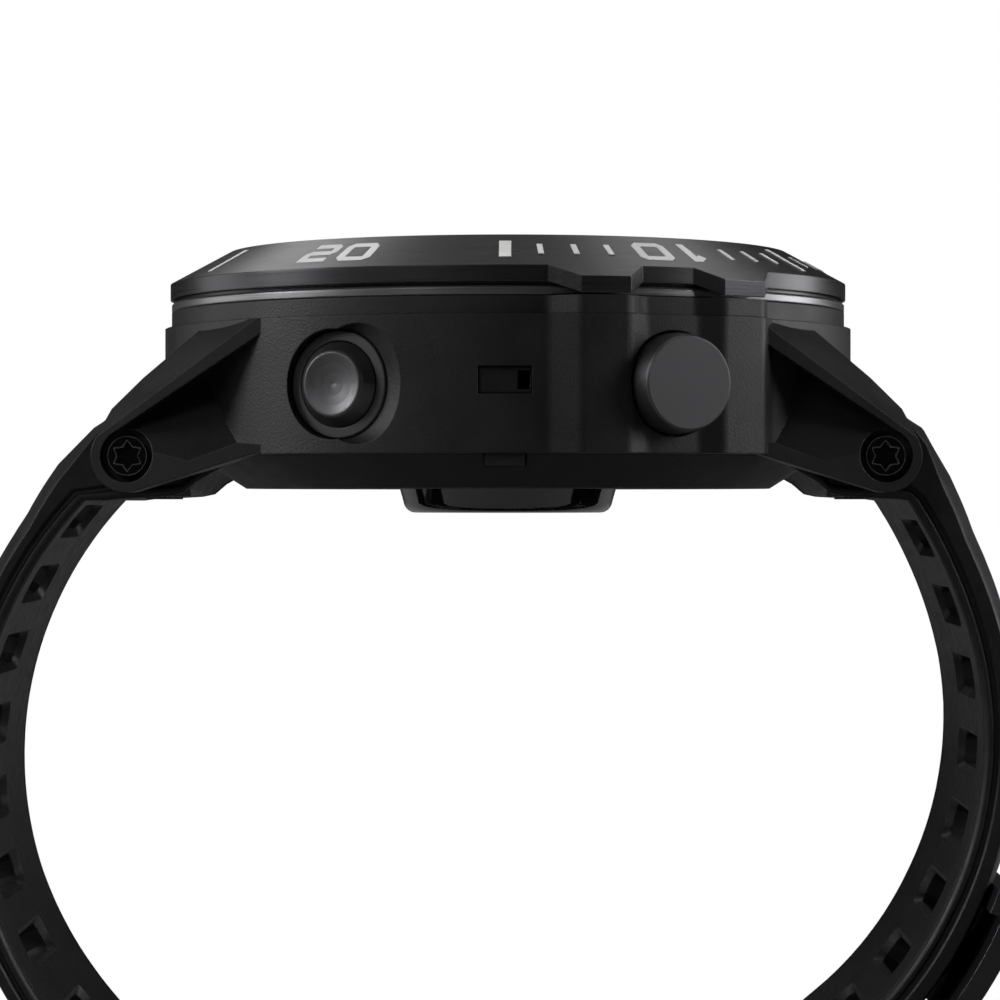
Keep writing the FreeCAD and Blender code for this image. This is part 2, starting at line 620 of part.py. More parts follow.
def make_back():
    """The back cover with its gasket, screws, contacts and optical sensor."""
    cover = [
        ("window_hole_radius", "cover_bottom"),
        ("cover_face_radius", "cover_bottom"),
        ("cover_step_radius", "cover_step_height"),
        ("cover_radius", "case_bottom"),
        ("spigot_radius", "case_bottom"),
        ("spigot_radius", "case_bottom + 0.25"),
        ("spigot_radius - 0.5", "case_bottom + 0.25"),
        ("spigot_radius - 0.5", "spigot_top - 0.25"),
        ("spigot_radius", "spigot_top - 0.25"),
        ("spigot_radius", "spigot_top"),
        ("spigot_radius - 1.6", "spigot_top"),
        ("spigot_radius - 1.6", "cover_inner_height"),
        ("window_hole_radius", "cover_inner_height"),
    ]
    shell = turned("cover_shell", cover)
    notch_place = at(0, -23.0, SIZE["key_bottom"] - 0.03)
    tools = [box("key_notch", "key_width + 0.2", "1.8", "case_bottom - key_bottom + 0.03", notch_place)]
    pillars = []
    for index in range(4):
        turn = Placement(Vector(), Rotation(Z_AXIS, 45 + 90 * index))
        place = turn.multiply(at(SIZE["screw_circle"]))
        raised = turn.multiply(at(SIZE["screw_circle"], 0, SIZE["cover_inner_height"] - 0.1))
        tall = "spigot_top - cover_inner_height + 0.1"
        pillars.append(cylinder(f"cover_pillar_{index}", "2.2", tall, raised))
        tools.append(cylinder(f"cover_hole_{index}", "0.85", "9", place))
        tools.append(cylinder(f"cover_head_{index}", "1.6", "cover_bottom + 0.9", place))
    for index in range(4):
        place = at(-SIZE["contact_offset"], 2.4 * (index - 1.5), 0)
        tools.append(cylinder(f"contact_hole_{index}", "0.72", "cover_inner_height + 1", place))
    node(cut("cover_solid", fuse("cover_mass", [shell] + pillars), tools), "back_cover")

    seal = doc.addObject("Part::Torus", "back_seal")
    seal.setExpression("Radius1", bound("spigot_radius - 0.2"))
    seal.setExpression("Radius2", bound("back_seal_wire"))
    seal.Placement = at(0, 0, (SIZE["case_bottom"] + SIZE["spigot_top"]) / 2)
    node(seal, "back_gasket")
    node(feature("screws", Part.makeCompound([back_screw(index) for index in range(4)])), "back_screws")
    contacts = []
    for index in range(4):
        pad = Part.makeCylinder(0.7, 2.0, Vector(-SIZE["contact_offset"], 2.4 * (index - 1.5), 1.85))
        contacts.append(pad)
    node(feature("contacts", Part.makeCompound(contacts)), "charge_contacts")

    window = turned("window_body", [
        ("0", "0"),
        ("window_face_radius", "0"),
        ("window_radius", "cover_bottom - 0.02"),
        ("window_hole_radius - 0.1", "cover_bottom - 0.02"),
        ("window_hole_radius - 0.1", "cover_bottom + 0.9"),
        ("0", "cover_bottom + 0.9"),
    ])
    rounded = window.newObject("PartDesign::Fillet", "window_rounding")
    lowest = [index for index, edge in enumerate(window.Shape.Edges, start=1)
              if edge.BoundBox.ZMax < 0.01 and edge.BoundBox.XLength > 1]
    rounded.Base = (window.getObject("window_body_turn"), [f"Edge{lowest[0]}"])
    rounded.setExpression("Radius", bound("window_rounding"))
    node(window, "sensor_window")
    ring = [
        ("window_hole_radius - 0.7", "cover_bottom + 0.92"),
        ("window_hole_radius - 0.1", "cover_bottom + 0.92"),
        ("window_hole_radius - 0.1", "cover_bottom + 1.3"),
        ("window_hole_radius - 0.7", "cover_bottom + 1.3"),
    ]
    node(turned("window_seal", ring), "sensor_gasket")
    node(cylinder("sensor_disc", "window_hole_radius - 0.3", "0.8", at(0, 0, 3.45)), "sensor_board")


def star(radius_out, radius_in, points, depth):
    """A star-shaped socket with the given points, standing on the origin."""
    corners = []
    for index in range(2 * points + 1):
        radius = radius_out if index % 2 == 0 else radius_in
        turn = math.pi * index / points
        corners.append(Vector(radius * math.sin(turn), radius * math.cos(turn), 0))
    return Part.Face(Part.makePolygon(corners)).extrude(Vector(0, 0, depth))


def back_screw(index):
    """One back cover screw: head in the cover, shank in the case's boss."""
    head = Part.makeCylinder(1.5, 0.85, Vector(0, 0, SIZE["cover_bottom"] + 0.05))
    shank = Part.makeCylinder(0.78, 5.0, Vector(0, 0, SIZE["cover_bottom"] + 0.5))
    socket = star(0.85, 0.5, 6, SIZE["cover_bottom"] + 0.55)
    solid = head.fuse(shank).cut(socket)
    turn = Placement(Vector(), Rotation(Z_AXIS, 45 + 90 * index))
    solid.Placement = turn.multiply(at(SIZE["screw_circle"]))
    return solid


# ---------------------------------------------------------------- buttons


def button_outline(name):
    """The (radius, distance from the case axis) outline of a button, from its stem to its face."""
    stem = [
        ("0", "stem_end"),
        ("stem_radius", "stem_end"),
        ("stem_radius", "clip_start - 0.02"),
        ("stem_radius - 0.4", "clip_start - 0.02"),
        ("stem_radius - 0.4", "clip_start + clip_thickness + 0.02"),
        ("stem_radius", "clip_start + clip_thickness + 0.02"),
        ("stem_radius", "groove_start"),
        ("stem_radius - 0.55", "groove_start"),
        ("stem_radius - 0.55", "groove_end"),
        ("stem_radius", "groove_end"),
    ]
    if name == "start":
        return stem + [
            ("stem_radius", "barrel_underside"),
            ("start_radius", "barrel_underside"),
            ("start_radius", "start_face - 1.5"),
            ("start_face_radius + 0.05", "start_face - 0.12"),
            ("start_face_radius - 0.07", "start_face"),
            ("0", "start_face"),
        ]
    return stem + [
        ("stem_radius", "recess_floor + 0.6"),
        ("collar_bore - 0.04", "recess_floor + 0.6"),
        ("collar_bore - 0.04", "collar_face"),
        ("cone_face_radius + 0.02", "cone_face - 0.08"),
        ("cone_face_radius - 0.1", "cone_face"),
        ("cone_face_radius - 0.2", "cone_face"),
        ("cone_face_radius - 0.8", "cone_face - 0.14"),
        ("cone_face_radius - 1.5", "cone_face - 0.24"),
        ("0", "cone_face - 0.3"),
    ]


def make_button(name, angle, lean):
    """A button with its spring, seal and retaining clip, and its collar if it has one."""
    place = out_of_case(angle, SIZE["button_height"])
    cap = turned(name + "_button_body", button_outline(name))
    cap.Placement = place
    node(cap, name + "_button")

    underside = SIZE["barrel_underside"] if name == "start" else SIZE["recess_floor"] + 0.6
    wire = SIZE["spring_wire"]
    length = underside - SIZE["spring_floor"] - 2 * wire - 0.02
    helix = Part.makeHelix(length / 3, length, SIZE["spring_radius"])
    section = Part.makePolygon([polar(SIZE["spring_radius"], 0, wire, 45 * corner) for corner in range(9)])
    coil = Part.Wire(helix).makePipeShell([section], True, True)
    coil.Placement = place.multiply(at(0, 0, SIZE["spring_floor"] + wire + 0.01))
    node(feature(name + "_coil", coil), name + "_spring")

    seal = doc.addObject("Part::Torus", name + "_ring")
    seal.setExpression("Radius1", bound("stem_radius - 0.2"))
    seal.setExpression("Radius2", bound("seal_wire"))
    seal.Placement = place.multiply(at(0, 0, (SIZE["groove_start"] + SIZE["groove_end"]) / 2))
    node(seal, name + "_seal")

    clip_place = place.multiply(at(0, 0, SIZE["clip_start"]))
    disc = cylinder(name + "_clip_disc", "stem_radius + 0.9", "clip_thickness", clip_place)
    hole = cylinder(name + "_clip_hole", "stem_radius - 0.38", "clip_thickness", clip_place)
    gap = box(name + "_clip_gap", "1.3", "6", "clip_thickness", clip_place.multiply(at(0, -3)))
    node(cut(name + "_clip_solid", disc, [hole, gap]), name + "_clip")

    if lean is not None:
        ring = [
            ("collar_bore", "recess_floor"),
            ("collar_radius", "recess_floor"),
            ("collar_radius", "collar_face - 0.1"),
            ("collar_radius - 0.1", "collar_face"),
            ("collar_bore + 0.08", "collar_face"),
            ("collar_bore", "collar_face - 0.08"),
        ]
        collar = turned(name + "_collar_body", ring)
        collar.Placement = place
        node(collar, name + "_collar")


# ---------------------------------------------------------------- strap bars and screws


def make_bars():
    """The two strap bars and the four lug screws that hold them."""
    screws = []
    for side, label in ((1, "lug_bar_12h"), (-1, "lug_bar_6h")):
        place = along_y(side * SIZE["pin_place"], -15.55, SIZE["pin_height"])
        rod = cylinder(label + "_rod", "bar_radius", "31.1", place)
        ends = []
        for index, start in enumerate((0.0, 27.1)):
            hole_place = place.multiply(at(0, 0, start))
            ends.append(cylinder(f"{label}_hole_{index}", "0.6", "4", hole_place))
        node(cut(label + "_solid", rod, ends), label)
        for end in (-1, 1):
            head = Part.makeCylinder(1.4, 0.85, Vector(0, 0, 0.0))
            shank = Part.makeCylinder(0.58, 3.6, Vector(0, 0, -3.5))
            socket = star(1.1, 0.72, 6, 1.0)
            socket.translate(Vector(0, 0, 0.35))
            screw = head.fuse(shank).cut(socket)
            turn = Rotation(Vector(1, 0, 0), 90 if end < 0 else -90)
            middle = Vector(side * SIZE["pin_place"], end * 15.62, SIZE["pin_height"])
            screw.Placement = Placement(middle, turn)
            screws.append(screw)
    node(feature("lug_screw_set", Part.makeCompound(screws)), "lug_screws")


# ---------------------------------------------------------------- strap

# The inner faces of the strap halves are arcs in the XZ plane: (centre x, centre z, radius, start, end angle).
LOOP_CENTRE = (-6.9, -17.6)
SIX_ARCS = [(-9.2, -19.35, 29.0, 131.0, 216.9), (*LOOP_CENTRE, 31.9, 217.0, 315.0)]
TWELVE_ARCS = [(-0.2, -16.75, 34.0, 34.5, 0.0), (6.8, -16.75, 27.0, 0.0, -48.2)]
TAIL_ARC = (*LOOP_CENTRE, 35.5, -48.2, -122.0)
PLATE_CENTRE = (6.8, -16.75)


def band_between(arcs, thickness, round_end=False):
    """A side outline of the strap: the arcs' inner faces, and the same arcs a thickness further out."""
    inner, outer = [], []
    for index, (x, z, radius, start, end) in enumerate(arcs):
        middle = (start + end) / 2
        points = [polar(x, z, radius, angle) for angle in (start, middle, end)]
        outside = [polar(x, z, radius + thickness, angle) for angle in (start, middle, end)]
        if index and (points[0] - inner[-1][-1]).Length > 1e-3:
            inner.append([inner[-1][-1], points[0]])
            outer.append([outer[-1][-1], outside[0]])
        inner.append(points)
        outer.append(outside)
    edges = [stretch(points) for points in inner]
    if round_end:
        tip_x, tip_z, radius, _, end = arcs[-1]
        tip_angle = math.degrees(0.5 * thickness / (radius + thickness / 2))
        bulge = polar(tip_x, tip_z, radius + thickness / 2, end - tip_angle)
        edges.append(Part.Arc(inner[-1][-1], bulge, outer[-1][-1]).toShape())
    else:
        edges.append(stretch([inner[-1][-1], outer[-1][-1]]))
    edges += [stretch(points[::-1]) for points in outer[::-1]]
    edges.append(stretch([outer[0][0], inner[0][0]]))
    return Part.Face(Part.Wire(edges))


def stretch(points):
    """An arc through three points, or a straight run through two."""
    if len(points) == 2:
        return Part.LineSegment(points[0], points[1]).toShape()
    return Part.Arc(*points).toShape()


def across(face, half_width):
    """A side outline made into a solid, from one side of the strap to the other."""
    face.translate(Vector(0, -half_width, 0))
    return face.extrude(Vector(0, 2 * half_width, 0))


def rod_y(x, z, radius, half_width):
    """A round rod along Y."""
    rod = Part.makeCylinder(radius, 2 * half_width)
    rod.Placement = along_y(x, -half_width, z)
    return rod


def wrap(side):
    """The strap's block round its bar, hollowed for the case, the cover and the quick-fit latch."""
    half = SIZE["strap_half_width"]
    pin_x, pin_z = side * SIZE["pin_place"], SIZE["pin_height"]
    block = rod_y(pin_x, pin_z, SIZE["wrap_radius"], half)
    foot = [(20.6, 2.5), (24.0, 1.15), (29.6, 1.15), (31.6, 3.0), (29.0, 6.0), (20.6, 4.0)]
    corners = [Vector(side * x, 0, z) for x, z in foot]
    heel = Part.Face(Part.makePolygon(corners + [corners[0]]))
    return block.fuse(across(heel, half))


def case_room(side):
    """What the strap's block leaves free: the case wall, the back cover, the bar's bore and the latch."""
    gap = 0.3
    reach = SIZE["strap_half_width"] + 1
    pin_x, pin_z = side * SIZE["pin_place"], SIZE["pin_height"]
    case_wall = Part.makeCylinder(SIZE["case_radius"] + gap, 12, Vector(0, 0, SIZE["case_bottom"] - gap))
    case_wall = case_wall.cut(rod_y(pin_x, pin_z, SIZE["wrap_inner_radius"], reach))
    rise = SIZE["case_bottom"] - SIZE["cover_bottom"]
    lower = SIZE["cover_face_radius"] + gap + 0.3
    upper = SIZE["cover_radius"] + gap + 0.3
    cover = Part.makeCone(lower, upper, rise, Vector(0, 0, SIZE["cover_bottom"]))
    bore = rod_y(pin_x, pin_z, SIZE["bar_radius"] + 0.03, reach)
    latch = Part.makeBox(4.3, 10.6, 1.2, Vector(0, -5.3, 0.9))
    latch.translate(Vector(23.3 if side > 0 else -27.6, 0, 0))
    return case_wall.fuse(cover).fuse(bore).fuse(latch)


def slot(middle, degrees):
    """A slot through the strap at a point, square to a strap whose outward direction is given in degrees."""
    wide, long = SIZE["slot_wide"], SIZE["slot_long"]
    hole = Part.makeBox(12, wide, long, Vector(-6, -wide / 2, -long / 2))
    hole.Placement = Placement(middle, Rotation(Y_AXIS, -degrees))
    return hole


def slots_on(arc, first, count, thickness, pitch):
    """Slots at an even pitch along one arc of a strap."""
    x, z, radius, start, end = arc
    middle = radius + thickness / 2
    step = math.degrees(pitch / middle) * (1 if end > start else -1)
    angles = [first + step * index for index in range(count)]
    return [slot(polar(x, z, middle, angle), angle) for angle in angles]


def make_six_half():
    """The strap half at 6 o'clock, from its bar to the buckle bar."""
    half, thick = SIZE["strap_half_width"], SIZE["strap_thick"]
    solid = across(band_between(SIX_ARCS, thick), half).fuse(wrap(-1))
    solid = solid.fuse(rod_y(SIZE["buckle_x"], SIZE["buckle_z"], SIZE["knuckle_radius"], half))
    pitch = SIZE["six_pitch"]
    tools = slots_on(SIX_ARCS[0], 141.1, 7, thick, pitch) + slots_on(SIX_ARCS[1], 218.5, 8, thick, pitch)
    tools.append(rod_y(SIZE["buckle_x"], SIZE["buckle_z"], SIZE["buckle_bar_radius"] + 0.03, half + 1))
    notch = SIZE["tongue_half_width"] + 0.4
    corner = Vector(SIZE["buckle_x"] - 3.0, -notch, SIZE["buckle_z"] - 4.5)
    tools.append(Part.makeBox(6.4, 2 * notch, 9, corner))
    tools.append(case_room(-1))
    for tool in tools:
        solid = solid.cut(tool)
    node(feature("six_half", solid.removeSplitter()), "strap_6h")


def make_twelve_half():
    """The strap half at 12 o'clock, from its bar through the buckle to the tail."""
    half, thick = SIZE["strap_half_width"], SIZE["tail_thick"]
    arcs = TWELVE_ARCS + [TAIL_ARC]
    solid = across(band_between(arcs, thick, round_end=True), half).fuse(wrap(1))
    pitch = SIZE["twelve_pitch"]
    tools = slots_on(TWELVE_ARCS[0], 25.4, 3, thick, pitch)
    tools += slots_on(TWELVE_ARCS[1], -2.7, 5, thick, pitch)
    tools += slots_on(TAIL_ARC, -48.7, 8, thick, pitch)
    run_angle = TAIL_ARC[3]
    run_start = polar(*PLATE_CENTRE, TWELVE_ARCS[1][2] + thick / 2, run_angle)
    run_end = polar(*LOOP_CENTRE, TAIL_ARC[2] + thick / 2, run_angle)
    tools.append(slot((run_start + run_end) * 0.5, run_angle))
    tools.append(case_room(1))
    for tool in tools:
        solid = solid.cut(tool)
    node(feature("twelve_half", solid.removeSplitter()), "strap_12h")


def make_latches():
    """The small sliding latch under each strap end."""
    for side, label in ((1, "latch_12h"), (-1, "latch_6h")):
        slab = Part.makeBox(2.8, 10.0, 0.8, Vector(0, -5.0, 1.2))
        ridges = [Part.makeBox(0.4, 8.0, 0.25, Vector(0.5 + 0.8 * k, -4.0, 1.0)) for k in range(3)]
        solid = slab.multiFuse(ridges)
        if side < 0:
            solid = solid.mirror(Vector(), Vector(1, 0, 0))
        solid.translate(Vector(side * 24.6, 0, 0))
        node(feature(label + "_plate", solid), label)


# ---------------------------------------------------------------- buckle and keepers


def swept_section(centre, inner, outer, half_low, half_high, start, end):
    """A block bent round a centre: radii inner to outer, Y half_low to half_high, between two angles."""
    x, z = centre
    corners = [(inner, half_low), (outer, half_low), (outer, half_high), (inner, half_high)]
    points = [polar(x, z, radius, start, side) for radius, side in corners]
    face = Part.Face(Part.makePolygon(points + [points[0]]))
    return face.revolve(Vector(x, 0, z), Y_AXIS, start - end)


def make_buckle():
    """The buckle frame with its arms, window and front bar, its bar, and its tongue."""
    inner, outer = SIZE["plate_inner_radius"], SIZE["plate_outer_radius"]
    low, high = SIZE["frame_inner"], SIZE["frame_outer"]
    bar_x, bar_z, boss = SIZE["buckle_x"], SIZE["buckle_z"], SIZE["arm_end_radius"]
    front, rear = SIZE["plate_front"], SIZE["plate_rear"]
    solid = swept_section(PLATE_CENTRE, inner, outer, -high, high, front, rear)
    half = SIZE["buckle_window"]
    opening = swept_section(PLATE_CENTRE, inner - 1, outer + 1, -half, half,
                            SIZE["window_front"], SIZE["window_rear"])
    solid = solid.cut(opening)
    lip = swept_section(PLATE_CENTRE, SIZE["lip_radius"], outer, -high, high, front, front - 3.5)
    solid = solid.fuse(lip)
    for side in (-1, 1):
        corners = [
            polar(bar_x, bar_z, boss, 70),
            polar(*PLATE_CENTRE, outer, rear + 6.0),
            polar(*PLATE_CENTRE, outer, rear - 4.0),
            polar(bar_x, bar_z, boss, -75),
        ]
        bulge = polar(*PLATE_CENTRE, outer, rear + 1.0)
        rim = Part.Arc(corners[1], bulge, corners[2]).toShape()
        round_off = Part.Arc(corners[3], polar(bar_x, bar_z, boss, 180), corners[0]).toShape()
        edges = [stretch([corners[0], corners[1]]), rim, stretch([corners[2], corners[3]]), round_off]
        arm = Part.Face(Part.Wire(edges))
        arm.translate(Vector(0, min(side * low, side * high), 0))
        solid = solid.fuse(arm.extrude(Vector(0, high - low, 0)))
    solid = solid.cut(rod_y(bar_x, bar_z, SIZE["buckle_bar_radius"] + 0.02, high + 1))
    node(feature("frame_solid", solid.removeSplitter()), "buckle_frame")
    node(cylinder("buckle_rod", "buckle_bar_radius", "frame_outer + frame_outer",
                  along_y(bar_x, -high, bar_z)), "buckle_bar")

    half, thick = SIZE["tongue_half_width"], SIZE["tongue_thick"]
    loop_radius = SIZE["buckle_bar_radius"] + 0.05 + thick
    eye = rod_y(bar_x, bar_z, loop_radius, half)
    heading = SIZE["tongue_heading"]
    shank_start = polar(bar_x, bar_z, loop_radius - thick / 2, 90 + heading)
    rest = TWELVE_ARCS[1][2] + SIZE["tail_thick"] + 0.3
    curve_start = polar(*PLATE_CENTRE, rest + thick / 2, TAIL_ARC[3])
    shank_end = curve_start + polar(0, 0, SIZE["tongue_flat"], TAIL_ARC[3] - 90)
    shank = bar_between(shank_start, shank_end, thick, half)
    flat = bar_between(shank_end, curve_start, thick, half)
    bend = rod_y(shank_end.x, shank_end.z, thick / 2, half)
    arc = swept_section(PLATE_CENTRE, rest, rest + thick, -half, half, -26.0, TAIL_ARC[3])
    solid = eye.fuse(shank).fuse(bend).fuse(flat).fuse(arc)
    solid = solid.cut(rod_y(bar_x, bar_z, SIZE["buckle_bar_radius"] + 0.03, 5))
    node(feature("tongue_solid", solid.removeSplitter()), "buckle_tongue")


def bar_between(start, end, thick, half_width):
    """A straight flat bar from one point of the XZ plane to another."""
    run = end - start
    bar = Part.makeBox(run.Length, 2 * half_width, thick, Vector(0, -half_width, -thick / 2))
    bar.Placement = Placement(start, Rotation(Y_AXIS, -math.degrees(math.atan2(run.z, run.x))))
    return bar


def make_keepers():
    """The fixed and the free keeper: loops round both strap halves."""
    gap, wall = SIZE["keeper_gap"], SIZE["keeper_wall"]
    outer = TAIL_ARC[2] + SIZE["tail_thick"] + gap
    half = SIZE["strap_half_width"] + gap
    for label, start, end, slack in (("keeper_fixed", -58.0, -68.0, 0.0), ("keeper_free", -84.0, -95.0, gap)):
        inner = SIX_ARCS[1][2] - slack
        hull = swept_section(LOOP_CENTRE, inner - wall, outer + wall, -half - wall, half + wall, start, end)
        room = swept_section(LOOP_CENTRE, inner, outer, -half, half, start + 1, end - 1)
        node(feature(label + "_loop", hull.cut(room)), label)


def check_and_write():
    """Stops on any failed object or bad shape, then writes one STEP file for each piece."""
    doc.recompute()
    for obj in doc.Objects:
        if "Invalid" in obj.State or "Error" in obj.State:
            raise RuntimeError(f"{obj.Name} failed: {obj.State}")
    os.makedirs("parts", exist_ok=True)
    for obj in NODES:
        shape = obj.Shape
        if shape.isNull() or not shape.isValid() or not shape.Solids:
            raise RuntimeError(f"{obj.Label} has a bad shape")
        shape.exportStep(f"parts/{obj.Label}.step")
        print(f"{obj.Label}: {len(shape.Solids)} solids, {shape.Volume:.1f} cubic millimetres")


make_case()
make_rings()
make_marks()
make_display()
make_inside()
make_back()
for button_name, button_angle, button_lean in BUTTONS:
    make_button(button_name, button_angle, button_lean)
make_bars()
make_six_half()
make_twelve_half()
make_latches()
make_buckle()
make_keepers()
check_and_write()
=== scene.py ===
"""Looks for the dive computer: detailed strap, keepers, bezel numerals, materials, light and camera."""

import json
import math

import bmesh
import bpy
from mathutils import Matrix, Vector


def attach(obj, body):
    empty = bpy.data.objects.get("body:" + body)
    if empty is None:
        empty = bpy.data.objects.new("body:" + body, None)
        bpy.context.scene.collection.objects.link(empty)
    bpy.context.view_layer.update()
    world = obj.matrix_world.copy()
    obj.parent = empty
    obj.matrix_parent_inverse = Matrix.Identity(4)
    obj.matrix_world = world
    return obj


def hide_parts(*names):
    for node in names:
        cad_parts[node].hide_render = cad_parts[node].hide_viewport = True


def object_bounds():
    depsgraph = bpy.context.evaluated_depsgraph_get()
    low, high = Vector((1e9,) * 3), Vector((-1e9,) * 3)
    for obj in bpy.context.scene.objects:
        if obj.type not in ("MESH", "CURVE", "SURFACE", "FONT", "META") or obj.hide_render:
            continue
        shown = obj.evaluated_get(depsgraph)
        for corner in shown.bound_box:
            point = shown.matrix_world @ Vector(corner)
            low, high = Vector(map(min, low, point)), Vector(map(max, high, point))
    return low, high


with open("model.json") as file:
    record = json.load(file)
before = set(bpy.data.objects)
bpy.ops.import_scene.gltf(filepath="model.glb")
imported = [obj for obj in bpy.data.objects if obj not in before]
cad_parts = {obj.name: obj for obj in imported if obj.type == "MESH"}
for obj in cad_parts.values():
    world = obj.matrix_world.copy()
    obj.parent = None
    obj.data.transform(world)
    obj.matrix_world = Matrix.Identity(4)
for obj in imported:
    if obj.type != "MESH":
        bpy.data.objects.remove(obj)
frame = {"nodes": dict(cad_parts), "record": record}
CAD_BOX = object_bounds()
NODES = frame["nodes"]
MM = 0.001


# ---------------------------------------------------------------- materials

EDGE_RADIUS = 0.12 * MM  # of the edges that the shader rounds


class Shader:
    """A small helper that builds one procedural material."""

    def __init__(self, name, colour, roughness=0.5, metallic=0.0, **sockets):
        self.material = bpy.data.materials.new(name)
        self.material.use_nodes = True
        self.tree = self.material.node_tree
        self.surface = self.tree.nodes["Principled BSDF"]
        self.set("Base Color", (*colour, 1.0))
        self.set("Roughness", roughness)
        self.set("Metallic", metallic)
        for socket, amount in sockets.items():
            self.set(socket.replace("_", " "), amount)
        self.place = self.node("ShaderNodeTexCoord").outputs["Object"]

    def set(self, socket, amount):
        """Sets one socket of the surface shader."""
        self.surface.inputs[socket].default_value = amount

    def node(self, kind, **inputs):
        """A new node with its input values or links."""
        new = self.tree.nodes.new(kind)
        for socket, source in inputs.items():
            self.feed(new.inputs[socket.replace("_", " ")], source)
        return new

    def feed(self, socket, source):
        """Gives a socket a value or a link."""
        if isinstance(source, bpy.types.NodeSocket):
            self.tree.links.new(source, socket)
        else:
            socket.default_value = source

    def noise(self, scale, detail=2.0, place=None):
        """Noise from 0 to 1 with features about 1/scale metres across."""
        noise = self.node("ShaderNodeTexNoise", Vector=place or self.place, Scale=scale, Detail=detail)
        return noise.outputs["Fac"]

    def span(self, value, low, high, from_low=0.3, from_high=0.7):
        """A value moved from one range into another."""
        step = self.node("ShaderNodeMapRange", Value=value)
        ends = {"From Min": from_low, "From Max": from_high, "To Min": low, "To Max": high}
        for name, number in ends.items():
            step.inputs[name].default_value = number
        return step.outputs["Result"]

    def maths(self, operation, first, second=0.0):
        """One arithmetic node."""
        step = self.tree.nodes.new("ShaderNodeMath")
        step.operation = operation
        self.feed(step.inputs[0], first)
        self.feed(step.inputs[1], second)
        return step.outputs[0]

    def bump(self, height, strength, distance):
        """Bump on the surface from a height, over edges that the shader rounds."""
        step = self.node("ShaderNodeBump", Height=height, Strength=strength, Distance=distance)
        soft_edge = self.node("ShaderNodeBevel", Radius=EDGE_RADIUS)
        soft_edge.samples = 4
        self.tree.links.new(soft_edge.outputs["Normal"], step.inputs["Normal"])
        self.tree.links.new(step.outputs["Normal"], self.surface.inputs["Normal"])

    def rough(self, value, low, high):
        """Roughness that follows a value."""
        self.tree.links.new(self.span(value, low, high), self.surface.inputs["Roughness"])

    def tint(self, value, dark, light):
        """Colour that follows a value."""
        mix = self.tree.nodes.new("ShaderNodeMix")
        mix.data_type = "RGBA"
        self.feed(mix.inputs["Factor"], self.span(value, 0.0, 1.0))
        mix.inputs["A"].default_value = (*dark, 1.0)
        mix.inputs["B"].default_value = (*light, 1.0)
        self.tree.links.new(mix.outputs["Result"], self.surface.inputs["Base Color"])

    def around(self, ring_scale, turn_scale):
        """Coordinates that run round the case axis, for brushing that follows a ring."""
        split = self.node("ShaderNodeSeparateXYZ", Vector=self.place)
        across, deep, up = split.outputs
        square = self.maths("ADD", self.maths("MULTIPLY", across, across), self.maths("MULTIPLY", deep, deep))
        radius = self.maths("MULTIPLY", self.maths("SQRT", square), ring_scale)
        turn = self.maths("MULTIPLY", self.maths("ARCTAN2", deep, across), turn_scale)
        height = self.maths("MULTIPLY", up, ring_scale)
        return self.node("ShaderNodeCombineXYZ", X=radius, Y=turn, Z=height).outputs["Vector"]


def grained(name, colour, roughness, grain=6000.0, depth=0.00003, strength=0.6):
    """Moulded polymer with an even fine grain and slightly uneven gloss."""
    shader = Shader(name, colour, roughness, Specular_IOR_Level=0.3)
    grain_height = shader.noise(grain, 2.0)
    patches = shader.noise(260.0, 3.0)
    shader.rough(patches, roughness - 0.05, roughness + 0.06)
    shader.tint(patches, [c * 0.88 for c in colour], [c * 1.12 for c in colour])
    shader.bump(grain_height, strength, depth)
    return shader.material


def brushed_ring(name, colour, roughness):
    """Coated metal with fine brushing that runs round the case."""
    shader = Shader(name, colour, roughness, 0.85)
    streaks = shader.noise(1.0, 4.0, shader.around(9000.0, 4.0))
    shader.rough(streaks, roughness - 0.03, roughness + 0.05)
    shader.tint(streaks, [c * 0.92 for c in colour], [c * 1.08 for c in colour])
    shader.bump(streaks, 0.1, 0.000008)
    return shader.material


def satin_metal(name, colour, roughness, metallic=0.9, grain=9000.0):
    """Bead-blasted or satin metal."""
    shader = Shader(name, colour, roughness, metallic)
    fine = shader.noise(grain, 3.0)
    shader.rough(fine, roughness - 0.05, roughness + 0.07)
    shader.bump(fine, 0.05, 0.000003)
    return shader.material


def edged_metal(name, colour, edge, roughness):
    """Dark metal with a painted highlight: its edges are painted a lighter colour where the shader rounds
    them.
    """
    shader = Shader(name, colour, roughness, 0.8)
    rounded = shader.node("ShaderNodeBevel", Radius=EDGE_RADIUS)
    flat = shader.node("ShaderNodeNewGeometry")
    turn = shader.node("ShaderNodeVectorMath")
    turn.operation = "DOT_PRODUCT"
    shader.tree.links.new(rounded.outputs["Normal"], turn.inputs[0])
    shader.tree.links.new(flat.outputs["Normal"], turn.inputs[1])
    # painted highlight: where the rounded normal turns from the true normal, the colour goes towards the
    # lighter edge colour
    painted_edge_highlight = shader.span(turn.outputs["Value"], 1.0, 0.0, 0.80, 0.97)
    shader.tint(painted_edge_highlight, colour, edge)
    shader.rough(shader.noise(9000.0, 3.0), roughness - 0.04, roughness + 0.05)
    return shader.material


def silicone(name, colour, roughness):
    """Moulded silicone: soft gloss, very fine texture and faint dust."""
    shader = Shader(name, colour, roughness, Specular_IOR_Level=0.3)
    fine = shader.noise(4200.0, 3.0)
    dust = shader.noise(900.0, 6.0)
    shader.rough(dust, roughness - 0.05, roughness + 0.08)
    shader.tint(dust, [c * 0.9 for c in colour], [c * 1.15 for c in colour])
    shader.bump(fine, 0.08, 0.000006)
    return shader.material


def gloss(name, colour, roughness):
    """Polished dark glass or clear-coated plastic."""
    shader = Shader(name, colour, roughness, Coat_Weight=1.0, Coat_Roughness=0.03)
    smears = shader.noise(140.0, 3.0)
    shader.rough(smears, roughness, roughness + 0.05)
    return shader.material


